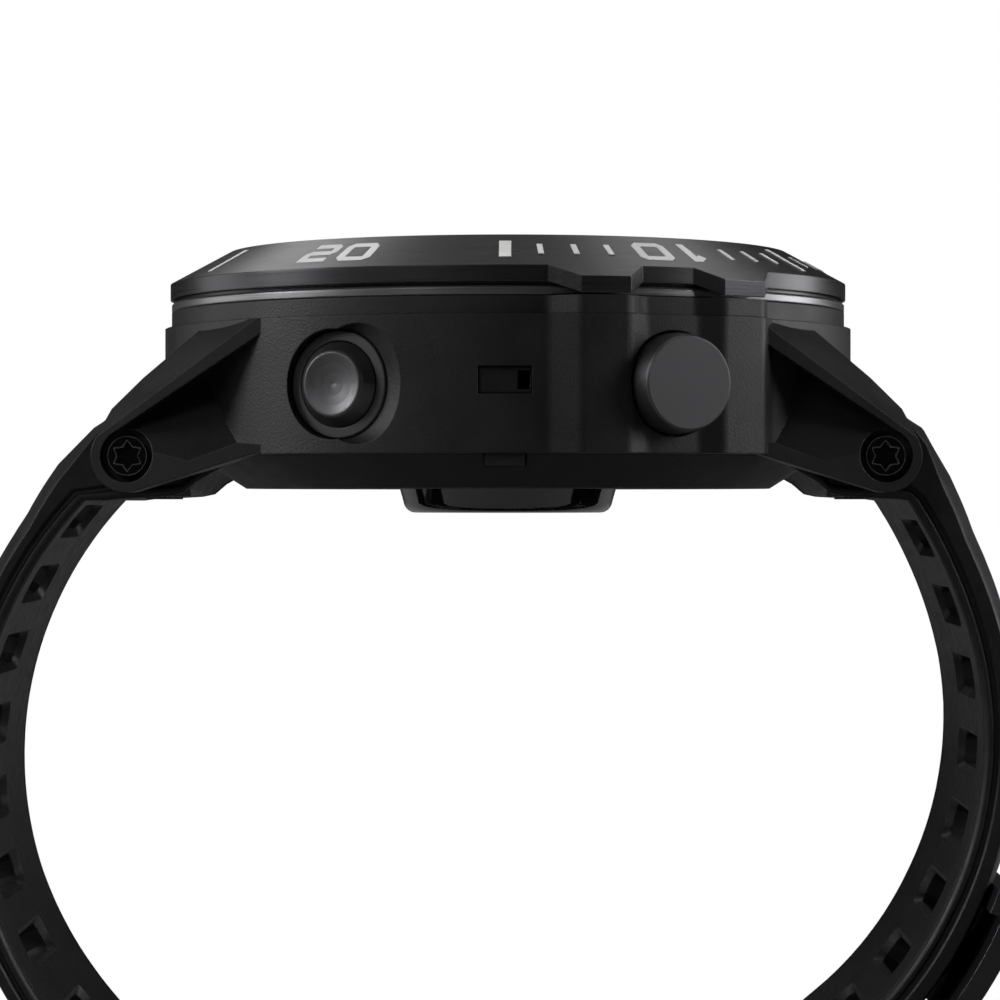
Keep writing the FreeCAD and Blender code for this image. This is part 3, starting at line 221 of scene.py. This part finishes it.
def clear(name):
    """The crystal."""
    shader = Shader(name, (0.9, 0.93, 0.95), 0.02, Transmission_Weight=1.0, IOR=1.6)
    smears = shader.noise(90.0, 3.0)
    shader.rough(smears, 0.01, 0.05)
    return shader.material


def circuit(name):
    """Solder mask with tracks."""
    shader = Shader(name, (0.02, 0.12, 0.06), 0.4)
    tracks = shader.noise(800.0, 1.0)
    shader.tint(tracks, (0.012, 0.07, 0.035), (0.03, 0.17, 0.08))
    shader.bump(tracks, 0.3, 0.00003)
    return shader.material


LOOKS = {
    "case_polymer": grained("case_polymer", (0.012, 0.012, 0.0125), 0.48),
    "cover_polymer": grained("cover_polymer", (0.010, 0.010, 0.0105), 0.52, 3600.0),
    "seat_metal": brushed_ring("seat_metal", (0.22, 0.22, 0.225), 0.30),
    "bezel_metal": brushed_ring("bezel_metal", (0.06, 0.06, 0.063), 0.30),
    "mark_paint": grained("mark_paint", (0.86, 0.87, 0.85), 0.5, 6000.0, 0.000004, 0.1),
    "crystal_glass": clear("crystal_glass"),
    "dial_black": grained("dial_black", (0.012, 0.012, 0.013), 0.4, 5000.0),
    "display_gloss": gloss("display_gloss", (0.006, 0.006, 0.008), 0.12),
    "inner_plastic": grained("inner_plastic", (0.05, 0.05, 0.055), 0.5),
    "circuit_board": circuit("circuit_board"),
    "battery_foil": satin_metal("battery_foil", (0.5, 0.51, 0.53), 0.35),
    "plain_steel": satin_metal("plain_steel", (0.5, 0.5, 0.51), 0.3),
    # the second colour is a painted highlight on the edges of this dark metal
    "black_steel": edged_metal("black_steel", (0.006, 0.006, 0.0065), (0.5, 0.5, 0.51), 0.35),
    "button_metal": satin_metal("button_metal", (0.09, 0.09, 0.094), 0.42),
    "collar_metal": satin_metal("collar_metal", (0.05, 0.05, 0.053), 0.45, 0.7),
    "buckle_metal": satin_metal("buckle_metal", (0.05, 0.05, 0.053), 0.38),
    "gasket_rubber": silicone("gasket_rubber", (0.02, 0.02, 0.02), 0.6),
    "sensor_gloss": gloss("sensor_gloss", (0.004, 0.004, 0.005), 0.04),
    "contact_gold": satin_metal("contact_gold", (0.75, 0.55, 0.22), 0.25, 1.0),
    "strap_rubber": silicone("strap_rubber", (0.011, 0.011, 0.0115), 0.46),
}


def dress_nodes():
    """Gives every CAD node the material of its slot, and smooth shading with crisp edges."""
    for entry in frame["record"]["subparts"]:
        obj = NODES[entry["node"]]
        obj.data.materials.clear()
        obj.data.materials.append(LOOKS[entry["material_slot"]])
        smooth(obj, 30.0)


# ---------------------------------------------------------------- meshes


def finish_mesh(name, mesh_data, material, body, smooth_angle=38.0):
    """Links a bmesh as a piece with its material, riding on a body."""
    mesh = bpy.data.meshes.new(name)
    bmesh.ops.recalc_face_normals(mesh_data, faces=mesh_data.faces)
    mesh_data.to_mesh(mesh)
    mesh_data.free()
    obj = bpy.data.objects.new(name, mesh)
    bpy.context.scene.collection.objects.link(obj)
    mesh.materials.append(material)
    smooth(obj, smooth_angle)
    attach(obj, body)
    return obj


def smooth(obj, angle):
    """Smooth shading up to an angle, sharp beyond it."""
    obj.data.shade_smooth()
    obj.data.set_sharp_from_angle(angle=math.radians(angle))


def round_edges(obj, width, segments, angle):
    """Real rounded edges of an even width."""
    rounding = obj.modifiers.new("edges", "BEVEL")
    rounding.width = width * MM
    rounding.segments = segments
    rounding.limit_method = "ANGLE"
    rounding.angle_limit = math.radians(angle)
    rounding.use_clamp_overlap = True
    rounding.harden_normals = False


def polar(centre, radius, degrees):
    """A point in the XZ plane at an angle from +X towards +Z, in millimetres."""
    turn = math.radians(degrees)
    return Vector((centre[0] + radius * math.cos(turn), centre[1] + radius * math.sin(turn)))


# ---------------------------------------------------------------- strap

# Strap measures are in millimetres. The centres are those of its arcs, in the XZ plane.
LOOP_CENTRE = (-6.9, -17.6)
PLATE_CENTRE = (6.8, -16.75)
SIX_CENTRE = (-9.2, -19.35)
LUG_CENTRE = (-0.2, -16.75)
HALF_WIDTH = 13.0
ROW_STEP = 1.05
# The toe of each half follows a circle round the case axis, and is drawn towards it between two distances.
TOE_RADIUS = 24.0
TOE_START, TOE_FADE = 20.1, 25.2

# Columns of the strap from its middle outwards: (across, hollow of the inner face, share of the crown).
COLUMNS = [(0.0, 0.41, 1.0), (1.5, 0.41, 0.99), (3.2, 0.40, 0.95), (4.9, 0.39, 0.885), (5.55, 0.38, 0.86),
           (8.0, 0.27, 0.69), (10.4, 0.13, 0.44), (11.9, 0.02, 0.22)]
# The bead along the inner edge, after a thin crease: (across, height over the edge line).
BEAD = [(12.05, 0.0), (12.16, 0.26), (12.32, 0.34), (12.44, 0.0), (12.62, 0.0), (12.82, 0.12), (12.94, 0.32),
        (12.92, 0.56), (12.7, 0.76), (12.68, 0.95), (12.9, 1.12), (13.0, 1.2)]
CROWN_EDGE = [(13.0, 0.0), (12.86, 0.06)]
SLOT_COLUMN = 4
SLOT_ALONG = (-1.55, -0.8, 0.0, 0.8, 1.55)
HOLE_HALF_WIDTH = 5.05
HOLE_HALF_LONG = 1.15
RIM_BOW, RIM_CORNER = 0.12, 0.14
HOLE_BOW, HOLE_CORNER = 0.25, 0.2
SLOT_INNER_RIM = 0.385
SLOT_BEVEL_DEPTH = 0.55
SLOT_OUTER_BEVEL = 0.35
SLOT_CROWN_FALL = 0.14
NOSE_STEPS, NOSE_TURN = 6, 14.5
SIX_LENGTH = 95.25  # about the length of the 6 o'clock half's path
NOTCH_COLUMN = 1
HALF_RING = len(COLUMNS) * 2 + len(BEAD) + len(CROWN_EDGE) - 1
RING = 2 * HALF_RING


class Path:
    """The inner face of a strap half in the XZ plane: arcs and straight runs, measured along their length."""

    def __init__(self, arcs):
        self.pieces = []
        last = None
        for centre, radius, start, end in arcs:
            first = polar(centre, radius, start)
            if last is not None and (first - last).length > 1e-3:
                self.pieces.append(("run", last, first, (first - last).length))
            length = abs(math.radians(end - start)) * radius
            self.pieces.append(("arc", centre, radius, start, end, length))
            last = polar(centre, radius, end)
        self.length = sum(piece[-1] for piece in self.pieces)

    def at(self, distance):
        """The point and the outward direction at a distance from the start."""
        for piece in self.pieces:
            if distance <= piece[-1] or piece is self.pieces[-1]:
                break
            distance -= piece[-1]
        share = distance / piece[-1]
        if piece[0] == "arc":
            _, centre, radius, start, end, _ = piece
            angle = start + (end - start) * share
            out = polar((0.0, 0.0), 1.0, angle)
            return Vector(centre) + out * radius, out
        _, first, last, _ = piece
        along = (last - first).normalized()
        out = Vector((-along.y, along.x))
        return first + (last - first) * share, out

    def distance_of(self, index, angle):
        """The distance along the path to an angle on its arc number index."""
        total = 0.0
        for piece in self.pieces:
            if piece[0] == "arc":
                if index == 0:
                    _, _, radius, start, _, _ = piece
                    return total + abs(math.radians(angle - start)) * radius
                index -= 1
            total += piece[-1]
        raise ValueError("no such arc")


def follow(table, distance):
    """The value at a distance in a table of (distance, value), straight between its entries."""
    for (first, low), (last, high) in zip(table, table[1:]):
        if distance <= last:
            return low + (high - low) * max(0.0, distance - first) / (last - first)
    return table[-1][1]


def section(lift, edge, crown):
    """(across, height) points all round one row, starting in the middle of the inner side."""
    half = [(across, lift + hollow) for across, hollow, _ in COLUMNS]
    half += [(across, lift + height) for across, height in BEAD]
    half += [(across, edge + crown * share) for across, share in CROWN_EDGE]
    half += [(across, edge + crown * share) for across, _, share in reversed(COLUMNS)]
    return half + [(-across, height) for across, height in half[-2:0:-1]]


def place_at(point, out, across, height):
    """A vertex position in metres from a point of the path, a distance across and a height over it."""
    place = point + out * height
    return Vector((place.x, across, place.y)) * MM


class Strap:
    """The skin of one strap half: rows of vertices along a path, with open bevelled slots."""

    def __init__(self, path, profile, slots):
        self.data = bmesh.new()
        self.path = path
        self.profile = profile
        self.slots = slots
        self.rows = []
        self.first = 0
        self.distances = self.row_distances()

    def row_distances(self):
        """Even steps, with each slot's own rows between them."""
        keys = [0.0]
        for middle in self.slots:
            keys += [middle + offset for offset in SLOT_ALONG]
        keys.append(self.path.length)
        distances = []
        for first, last in zip(keys, keys[1:]):
            steps = max(1, round((last - first) / ROW_STEP))
            distances += [first + (last - first) * step / steps for step in range(steps)]
        return distances + [keys[-1]]

    def add_block(self, side, stations):
        """Rows of the block from the toe by the case, round the bar, to where the path starts."""
        for low, high, bulge in stations:
            low, high = Vector((side * low[0], low[1])), Vector((side * high[0], high[1]))
            out = (high - low).normalized()
            row = []
            for across, height in section(0.0, (high - low).length, bulge):
                vertex = place_at(low, out, across, height)
                start = math.sqrt(TOE_RADIUS ** 2 - across ** 2)
                away = abs(vertex.x) / MM
                if away < TOE_FADE:
                    away = start + (away - TOE_START) * (TOE_FADE - start) / (TOE_FADE - TOE_START)
                    vertex.x = side * away * MM
                row.append(self.data.verts.new(vertex))
            self.rows.append(row)

    def add_path(self):
        """Rows along the whole path."""
        self.first = len(self.rows)
        for distance in self.distances:
            point, out = self.path.at(distance)
            row = section(*self.profile(distance))
            self.rows.append([self.data.verts.new(place_at(point, out, *spot)) for spot in row])

    def add_nose(self, push, corner):
        """Rows that round the end of the strap off."""
        point, out = self.path.at(self.path.length)
        before, _ = self.path.at(self.path.length - 0.5)
        along = (point - before).normalized()
        lift, edge, crown = self.profile(self.path.length)
        middle = (lift + edge + crown) / 2
        for step in range(1, NOSE_STEPS + 1):
            turn = math.radians(NOSE_TURN * step)
            narrow = 1 - corner * (1 - math.cos(turn)) / HALF_WIDTH
            ring = []
            for across, height in section(lift, edge, crown):
                height = middle + (height - middle) * math.cos(turn)
                ahead = point + along * (push * math.sin(turn))
                ring.append(self.data.verts.new(place_at(ahead, out, across * narrow, height)))
            self.rows.append(ring)

    def face(self, *corners):
        """One face from (row, column) corners."""
        self.data.faces.new([self.rows[row][column % RING] for row, column in corners])

    def slot_start(self, middle):
        """The first row of a slot."""
        start = middle + SLOT_ALONG[0]
        nearest = min(range(len(self.distances)), key=lambda index: abs(self.distances[index] - start))
        return nearest + self.first

    def skin(self, notch):
        """Faces all round, left open at the slots and, for a notch length, in the middle of the end."""
        starts = [self.slot_start(middle) for middle in self.slots]
        steps = len(SLOT_ALONG) - 1
        last = len(self.rows) - 1
        notch_row = last + 1
        if notch:
            wanted = self.path.length - notch
            notch_row = self.first + next(k for k, far in enumerate(self.distances) if far >= wanted)
        for row in range(last):
            in_slot = any(start <= row < start + steps for start in starts)
            reach = SLOT_COLUMN if in_slot else (NOTCH_COLUMN if row >= notch_row else 0)
            for column in range(RING):
                inner = column < reach or column >= RING - reach
                outer = HALF_RING - reach <= column < HALF_RING + reach
                if not (inner or outer):
                    self.face((row, column), (row, column + 1), (row + 1, column + 1), (row + 1, column))
            if row >= notch_row:
                for side in (-NOTCH_COLUMN, NOTCH_COLUMN):
                    far = HALF_RING - side
                    self.face((row, side), (row + 1, side), (row + 1, far), (row, far))
        self.cap(0, 0)
        self.cap(last, NOTCH_COLUMN if notch else 0)
        if notch:
            for column in range(-NOTCH_COLUMN, NOTCH_COLUMN):
                far = HALF_RING - column
                inner, outer = (column, column + 1), (far - 1, far)
                self.face(*[(notch_row, place) for place in inner + outer])
        for middle, start in zip(self.slots, starts):
            self.cut_slot(middle, start)

    def cap(self, row, gap):
        """Closes an end between its inner and outer side, with a gap in its middle."""
        edge = len(COLUMNS) - 1
        for column in range(-edge, edge):
            if -gap <= column < gap:
                continue
            far = HALF_RING - column
            self.face((row, column), (row, column + 1), (row, far - 1), (row, far))
        self.face(*[(row, column) for column in range(edge, HALF_RING - edge + 1)])
        self.face(*[(row, -column) for column in range(edge, HALF_RING - edge + 1)])

    def cut_slot(self, middle, start):
        """One slot: a bevel on the wrist side, a wall with bowed ends and a bevel outside."""
        end = len(SLOT_ALONG) - 1
        spots = [(column, 0) for column in range(-SLOT_COLUMN, SLOT_COLUMN + 1)]
        spots += [(SLOT_COLUMN, step) for step in range(1, end)]
        spots += [(column, end) for column in range(SLOT_COLUMN, -SLOT_COLUMN - 1, -1)]
        spots += [(-SLOT_COLUMN, step) for step in range(end - 1, 0, -1)]
        inner = [self.rows[start + step][column % RING] for column, step in spots]
        outer = [self.rows[start + step][HALF_RING - column] for column, step in spots]
        wide, long = COLUMNS[SLOT_COLUMN][0], SLOT_ALONG[-1]

        def level(half_wide, half_long, bow, corner, height_of, ring=None):
            """A ring of the slot at a size and height; moves the given ring or makes a new one."""
            made = []
            for index, (column, step) in enumerate(spots):
                side = 1 if column > 0 else -1
                across = side * COLUMNS[abs(column)][0] * half_wide / wide
                along = SLOT_ALONG[step] * half_long / long
                if abs(column) == SLOT_COLUMN:
                    across += side * bow * (1 - (SLOT_ALONG[step] / long) ** 2)
                    if step in (0, end):
                        across -= side * corner
                        along -= math.copysign(corner, along)
                point, out = self.path.at(middle + along)
                lift, edge, crown = self.profile(middle + along)
                share = 1.0 - SLOT_CROWN_FALL * (across / wide) ** 2
                spot = place_at(point, out, across, height_of(lift, edge + crown * share))
                if ring:
                    ring[index].co = spot
                    made.append(ring[index])
                else:
                    made.append(self.data.verts.new(spot))
            return made

        rim = (wide, long, RIM_BOW, RIM_CORNER)
        hole = (HOLE_HALF_WIDTH, HOLE_HALF_LONG, HOLE_BOW, HOLE_CORNER)
        levels = [
            level(*rim, lambda low, high: low + SLOT_INNER_RIM, inner),
            level(*hole, lambda low, high: low + SLOT_INNER_RIM + SLOT_BEVEL_DEPTH),
            level(*hole, lambda low, high: high - SLOT_OUTER_BEVEL),
            level(*rim, lambda low, high: high, outer),
        ]
        for near, far in zip(levels, levels[1:]):
            count = len(near)
            for index in range(count):
                after = (index + 1) % count
                self.data.faces.new((near[index], near[after], far[after], far[index]))


# The block of a strap half: lower point, edge of its outer side and bulge, in the XZ plane of the right half.
BLOCK = [
    ((20.3, 3.25), (20.7, 3.9), 0.0),
    ((22.3, 2.2), (22.3, 4.1), 0.0),
    ((23.3, 1.4), (23.4, 4.15), 0.0),
    ((24.3, 1.2), (24.2, 4.2), 0.0),
    ((25.2, 1.15), (24.5, 5.1), 0.1),
    ((26.1, 1.1), (25.4, 6.4), 0.25),
    ((27.2, 1.05), (27.2, 7.2), 0.35),
    ((28.3, 1.0), (28.9, 6.7), 0.9),
    ((29.0, 0.9), (30.3, 4.9), 1.75),
]


def six_profile(distance):
    """Height of the edge line, of the outer edge, and crown of the 6 o'clock half along its path."""
    end = SIX_LENGTH
    lift = follow([(0, 0.42), (31, 0.42), (36, 0.33), (41, 0.27), (end - 9, 0.15), (end - 3, -0.3),
                   (end, -0.6)], distance)
    edge = follow([(0, 2.75), (4, 2.15), (end - 6, 2.1), (end, 2.9)], distance)
    crown = follow([(0, 1.9), (25, 1.75), (45, 1.1), (end - 6, 1.05), (end, 0.42)], distance)
    return lift, edge, crown


def twelve_profile(distance):
    """Height of the edge line, of the outer edge, and crown of the 12 o'clock half along its path."""
    lift = follow([(0, 0.15), (4.5, 0.33), (9.2, 0.55), (12.8, 0.7), (16.3, 0.74), (22, 0.62), (30, 0.5),
                   (41, 0.52), (51, 0.25), (60, 0.08)], distance)
    edge = lift + follow([(0, 2.6), (4, 2.1), (48, 2.05), (56, 1.85)], distance)
    crown = follow([(0, 1.9), (25, 1.7), (41, 1.2), (52, 0.95), (60, 0.85)], distance)
    return lift, edge, crown


def make_straps():
    """Both strap halves."""
    six = Path([(SIX_CENTRE, 29.0, 136.5, 216.9), (LOOP_CENTRE, 31.9, 217.0, 315.0)])
    slots = [six.distance_of(0, 141.1 + 10.9 * index) for index in range(7)]
    slots += [six.distance_of(1, 218.5 + 9.96 * index) for index in range(8)]
    twelve = Path([(LUG_CENTRE, 34.0, 30.5, 0.0), (PLATE_CENTRE, 27.0, 0.0, -48.2),
                   (LOOP_CENTRE, 35.5, -48.2, -122.0)])
    tail_slots = [twelve.distance_of(0, angle) for angle in (25.4, 16.3, 7.3)]
    tail_slots += [twelve.distance_of(1, -2.7 - 11.3 * index) for index in range(5)]
    tail_slots.append(twelve.distance_of(1, -48.2) + 5.4)
    tail_slots += [twelve.distance_of(2, -48.7 - 8.7 * index) for index in range(1, 8)]
    for name, node, body, path, places, profile, side, nose, notch in (
        ("strap_six_skin", "strap_6h", "six_half",
         six, slots, six_profile, -1, (2.0, 0.3), 3.4),
        ("strap_twelve_skin", "strap_12h", "twelve_half",
         twelve, tail_slots, twelve_profile, 1, (1.4, 2.5), 0.0),
    ):
        strap = Strap(path, profile, places)
        strap.add_block(side, BLOCK)
        strap.add_path()
        strap.add_nose(*nose)
        strap.skin(notch)
        obj = finish_mesh(name, strap.data, LOOKS["strap_rubber"], body, 33.0)
        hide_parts(node)


# ---------------------------------------------------------------- keepers


KEEPER_WALL = 1.5
KEEPER_HALF = HALF_WIDTH + 0.3
KEEPER_OUTER = 38.6
KEEPER_STEPS = 8


def keeper_layers(data, start, end, inner):
    """Layers of vertices from one angle of the loop to another, each a ring outside and a ring inside."""
    hull = rounded_loop(KEEPER_HALF + KEEPER_WALL, inner - KEEPER_WALL, KEEPER_OUTER + KEEPER_WALL, 1.8)
    room = rounded_loop(KEEPER_HALF, inner, KEEPER_OUTER, 0.5)
    layers = []
    for step in range(KEEPER_STEPS + 1):
        angle = start + (end - start) * step / KEEPER_STEPS
        layer = []
        for points in (hull, room):
            ring = []
            for across, radius in points:
                place = polar(LOOP_CENTRE, radius, angle)
                ring.append(data.verts.new((place.x * MM, across * MM, place.y * MM)))
            layer.append(ring)
        layers.append(layer)
    return layers


def join_rings(data, near, far):
    """A band of faces between two closed rings of the same count."""
    count = len(near)
    for index in range(count):
        after = (index + 1) % count
        data.faces.new((near[index], near[after], far[after], far[index]))


def make_keepers():
    """Rounded silicone loops round both strap halves."""
    for name, node, body, start, end, inner in (
        ("keeper_fixed_skin", "keeper_fixed", "six_half", -58.0, -68.0, 31.9),
        ("keeper_free_skin", "keeper_free", "free_keeper", -84.0, -95.0, 31.6),
    ):
        data = bmesh.new()
        layers = keeper_layers(data, start, end, inner)
        for near, far in zip(layers, layers[1:]):
            for ring_near, ring_far in zip(near, far):
                join_rings(data, ring_near, ring_far)
        for layer in (layers[0], layers[-1]):
            join_rings(data, *layer)
        obj = finish_mesh(name, data, LOOKS["strap_rubber"], body)
        round_edges(obj, 0.35, 3, 50.0)
        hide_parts(node)


def rounded_loop(half, low, high, corner, steps=5):
    """A rounded rectangle as (across, radius) points, with the same count for any size."""
    points = []
    for x_sign, y_sign, start in ((1, 1, 0), (-1, 1, 90), (-1, -1, 180), (1, -1, 270)):
        centre_x = x_sign * (half - corner)
        centre_y = high - corner if y_sign > 0 else low + corner
        for step in range(steps + 1):
            turn = math.radians(start + 90 * step / steps)
            points.append((centre_x + corner * math.cos(turn), centre_y + corner * math.sin(turn)))
    return points


# ---------------------------------------------------------------- bezel numerals


# The bezel's cone and the circle that the numerals stand on, in millimetres.
CONE_LOW, CONE_HIGH = 17.1, 19.5
CONE_NARROW, CONE_WIDE = 21.1, 25.5
NUMERAL_RADIUS = 23.3


def on_cone(minute, across, outward, lift):
    """A point on the bezel's cone: across to the right as read from outside, outward down the slope."""
    rise, run = CONE_HIGH - CONE_LOW, CONE_WIDE - CONE_NARROW
    slope = math.hypot(rise, run)
    radius = NUMERAL_RADIUS + outward * run / slope
    height = CONE_LOW + (CONE_WIDE - radius) * rise / run
    turn = math.radians(-6.0 * minute) + across / NUMERAL_RADIUS
    normal = Vector((rise / slope, run / slope))
    radius += normal.x * lift
    height += normal.y * lift
    return Vector((radius * math.cos(turn), radius * math.sin(turn), height)) * MM


DIGITS = {
    "0": [[(-0.75, 1), (0.75, 1), (1, 0.75), (1, -0.75), (0.75, -1), (-0.75, -1), (-1, -0.75), (-1, 0.75),
           (-0.75, 1)]],
    "1": [[(-0.7, 0.5), (-0.1, 1), (0.1, 1), (0.1, -1.3)]],
    "2": [[(-1, 1), (0.8, 1), (1, 0.8), (1, 0.2), (0.8, 0), (-0.8, 0), (-1, -0.2), (-1, -1), (1, -1)]],
    "3": [[(-1, 1), (0.8, 1), (1, 0.8), (1, -0.8), (0.8, -1), (-1, -1)], [(-0.5, 0), (1, 0)]],
    "4": [[(-1, 1), (-1, -0.2), (1, -0.2)], [(0.55, 1), (0.55, -1)]],
    "5": [[(1, 1), (-1, 1), (-1, 0), (0.8, 0), (1, -0.2), (1, -0.8), (0.8, -1), (-1, -1)]],
}
DIGIT_HALF_WIDE = 1.0
DIGIT_HALF_TALL = 1.1
DIGIT_PITCH = 3.1
STROKE = 0.31
STROKE_STEP = 0.5
STROKE_SUNK, STROKE_PROUD = 0.08, 0.015


def spread(spots, closed):
    """The points of a stroke with even steps between them, so that it bends with the cone."""
    fine = []
    for first, last in zip(spots, spots[1:]):
        steps = max(1, round((last - first).length / STROKE_STEP))
        fine += [first.lerp(last, step / steps) for step in range(steps)]
    return fine if closed else fine + [spots[-1]]


def stroke(data, minute, spots, flip):
    """One mitred stroke along the points of a digit, closed if it ends where it starts."""
    spots = [Vector(spot) for spot in spots]
    closed = (spots[0] - spots[-1]).length < 1e-6
    fine = spread(spots, closed)
    count = len(fine)
    rings = []
    for index, spot in enumerate(fine):
        before = fine[index - 1] if closed or index > 0 else spot
        after = fine[(index + 1) % count] if closed or index < count - 1 else spot
        arriving = (spot - before).normalized() if spot != before else (after - spot).normalized()
        leaving = (after - spot).normalized() if after != spot else arriving
        middle = (arriving + leaving).normalized()
        side = Vector((-middle.y, middle.x)) * STROKE / max(0.5, middle.dot(arriving))
        ring = []
        for edge, lift in ((1, -STROKE_SUNK), (1, STROKE_PROUD), (-1, STROKE_PROUD), (-1, -STROKE_SUNK)):
            corner = spot + side * edge
            ring.append(data.verts.new(on_cone(minute, flip * corner.x, -flip * corner.y, lift)))
        rings.append(ring)
    for near, far in list(zip(rings, rings[1:])) + ([(rings[-1], rings[0])] if closed else []):
        join_rings(data, near, far)
    if not closed:
        data.faces.new(rings[0])
        data.faces.new(rings[-1])


def make_numerals():
    """Painted numerals at the tens, each a thin raised shape on the bezel's cone."""
    data = bmesh.new()
    for number in (10, 20, 30, 40, 50):
        flip = -1 if number in (10, 50) else 1
        for place, digit in enumerate(str(number)):
            middle = (place - 0.5) * DIGIT_PITCH
            for line in DIGITS[digit]:
                spots = [(middle + x * DIGIT_HALF_WIDE, y * DIGIT_HALF_TALL) for x, y in line]
                stroke(data, number, spots, flip)
    finish_mesh("bezel_numerals", data, LOOKS["mark_paint"], "case", 30.0)


dress_nodes()
make_straps()
make_keepers()
make_numerals()


# ---------------------------------------------------------------- stage, light, camera


def make_stage():
    """A pale round floor just under the loop, white to the camera and dim to the object."""
    reach, sides = 1.3, 64
    level = CAD_BOX[0][2] - 0.0004
    mesh = bpy.data.meshes.new("floor")
    data = bmesh.new()
    ring = []
    for side in range(sides):
        turn = 2 * math.pi * side / sides
        ring.append(data.verts.new((reach * math.cos(turn), reach * math.sin(turn), level)))
    data.faces.new(ring)
    data.to_mesh(mesh)
    data.free()
    floor = bpy.data.objects.new("floor", mesh)
    bpy.context.scene.collection.objects.link(floor)
    pale = Shader("floor_pale", (0.30, 0.30, 0.30), 0.9)
    glow = pale.node("ShaderNodeEmission", Strength=1.0)
    path = pale.node("ShaderNodeLightPath")
    mix = pale.node("ShaderNodeMixShader")
    pale.tree.links.new(path.outputs["Is Camera Ray"], mix.inputs["Fac"])
    pale.tree.links.new(pale.surface.outputs["BSDF"], mix.inputs[1])
    pale.tree.links.new(glow.outputs["Emission"], mix.inputs[2])
    pale.tree.links.new(mix.outputs["Shader"], pale.tree.nodes["Material Output"].inputs["Surface"])
    mesh.materials.append(pale.material)


LIGHT_AIM = (0.0, 0.0, 0.005)
# The soft boxes: name, place and size in metres, power in watts.
SOFT_BOXES = [
    ("key", (-0.55, -0.09, 0.21), 0.20, 2.0),
    ("fill", (0.53, -0.12, 0.20), 0.20, 1.5),
    ("top", (0.0, 0.10, 0.60), 0.30, 0.5),
    ("front", (-0.30, -0.50, 0.30), 0.20, 0.5),
    ("back_left", (-0.14, 0.40, 0.34), 0.14, 0.13),
    ("back_right", (0.14, 0.36, 0.42), 0.14, 0.10),
    ("rim_right", (0.55, 0.20, 0.02), 0.25, 0.9),
    ("rim_left", (-0.55, 0.20, 0.02), 0.25, 0.3),
]


def area_light(name, place, size, power):
    """A square soft box that points at the case."""
    light = bpy.data.lights.new(name, "AREA")
    light.shape = "RECTANGLE"
    light.size = size
    light.size_y = size
    light.energy = power
    obj = bpy.data.objects.new(name, light)
    obj.location = place
    obj.rotation_euler = (Vector(LIGHT_AIM) - Vector(place)).to_track_quat("-Z", "Y").to_euler()
    bpy.context.scene.collection.objects.link(obj)


def make_light():
    """Soft studio light: a faint wide sun and soft boxes round the object."""
    sun = bpy.data.lights.new("overhead", "SUN")
    sun.energy = 0.15
    sun.angle = math.radians(110)
    obj = bpy.data.objects.new("overhead", sun)
    bpy.context.scene.collection.objects.link(obj)
    for box in SOFT_BOXES:
        area_light(*box)


def make_surround():
    """A surround that is white to the camera and nearly dark to the object."""
    world = bpy.data.worlds.new("surround")
    bpy.context.scene.world = world
    world.use_nodes = True
    tree = world.node_tree
    back = tree.nodes["Background"]
    path = tree.nodes.new("ShaderNodeLightPath")
    mix = tree.nodes.new("ShaderNodeMapRange")
    mix.inputs["To Min"].default_value = 0.015
    mix.inputs["To Max"].default_value = 1.0
    tree.links.new(path.outputs["Is Camera Ray"], mix.inputs["Value"])
    tree.links.new(mix.outputs["Result"], back.inputs["Strength"])
    back.inputs["Color"].default_value = (1.0, 1.0, 1.0, 1.0)
    bpy.context.scene.view_settings.view_transform = "Standard"


def make_camera():
    """The camera looks level at the 3 o'clock side from about a quarter of a metre."""
    distance, height, swing = 0.262, 0.00095, math.radians(0.6)
    shift = -0.0006
    camera = bpy.data.cameras.new("camera")
    camera.sensor_width = 36.0
    camera.lens = 36.0 * 3.45
    camera.clip_start = 0.01
    camera.clip_end = 20.0
    obj = bpy.data.objects.new("camera", camera)
    obj.location = (distance * math.sin(swing) + shift, -distance * math.cos(swing), height)
    ahead = Vector((-math.sin(swing), math.cos(swing), 0.0))
    obj.rotation_euler = ahead.to_track_quat("-Z", "Y").to_euler()
    bpy.context.scene.collection.objects.link(obj)
    bpy.context.scene.camera = obj


make_stage()
make_light()
make_surround()
make_camera()
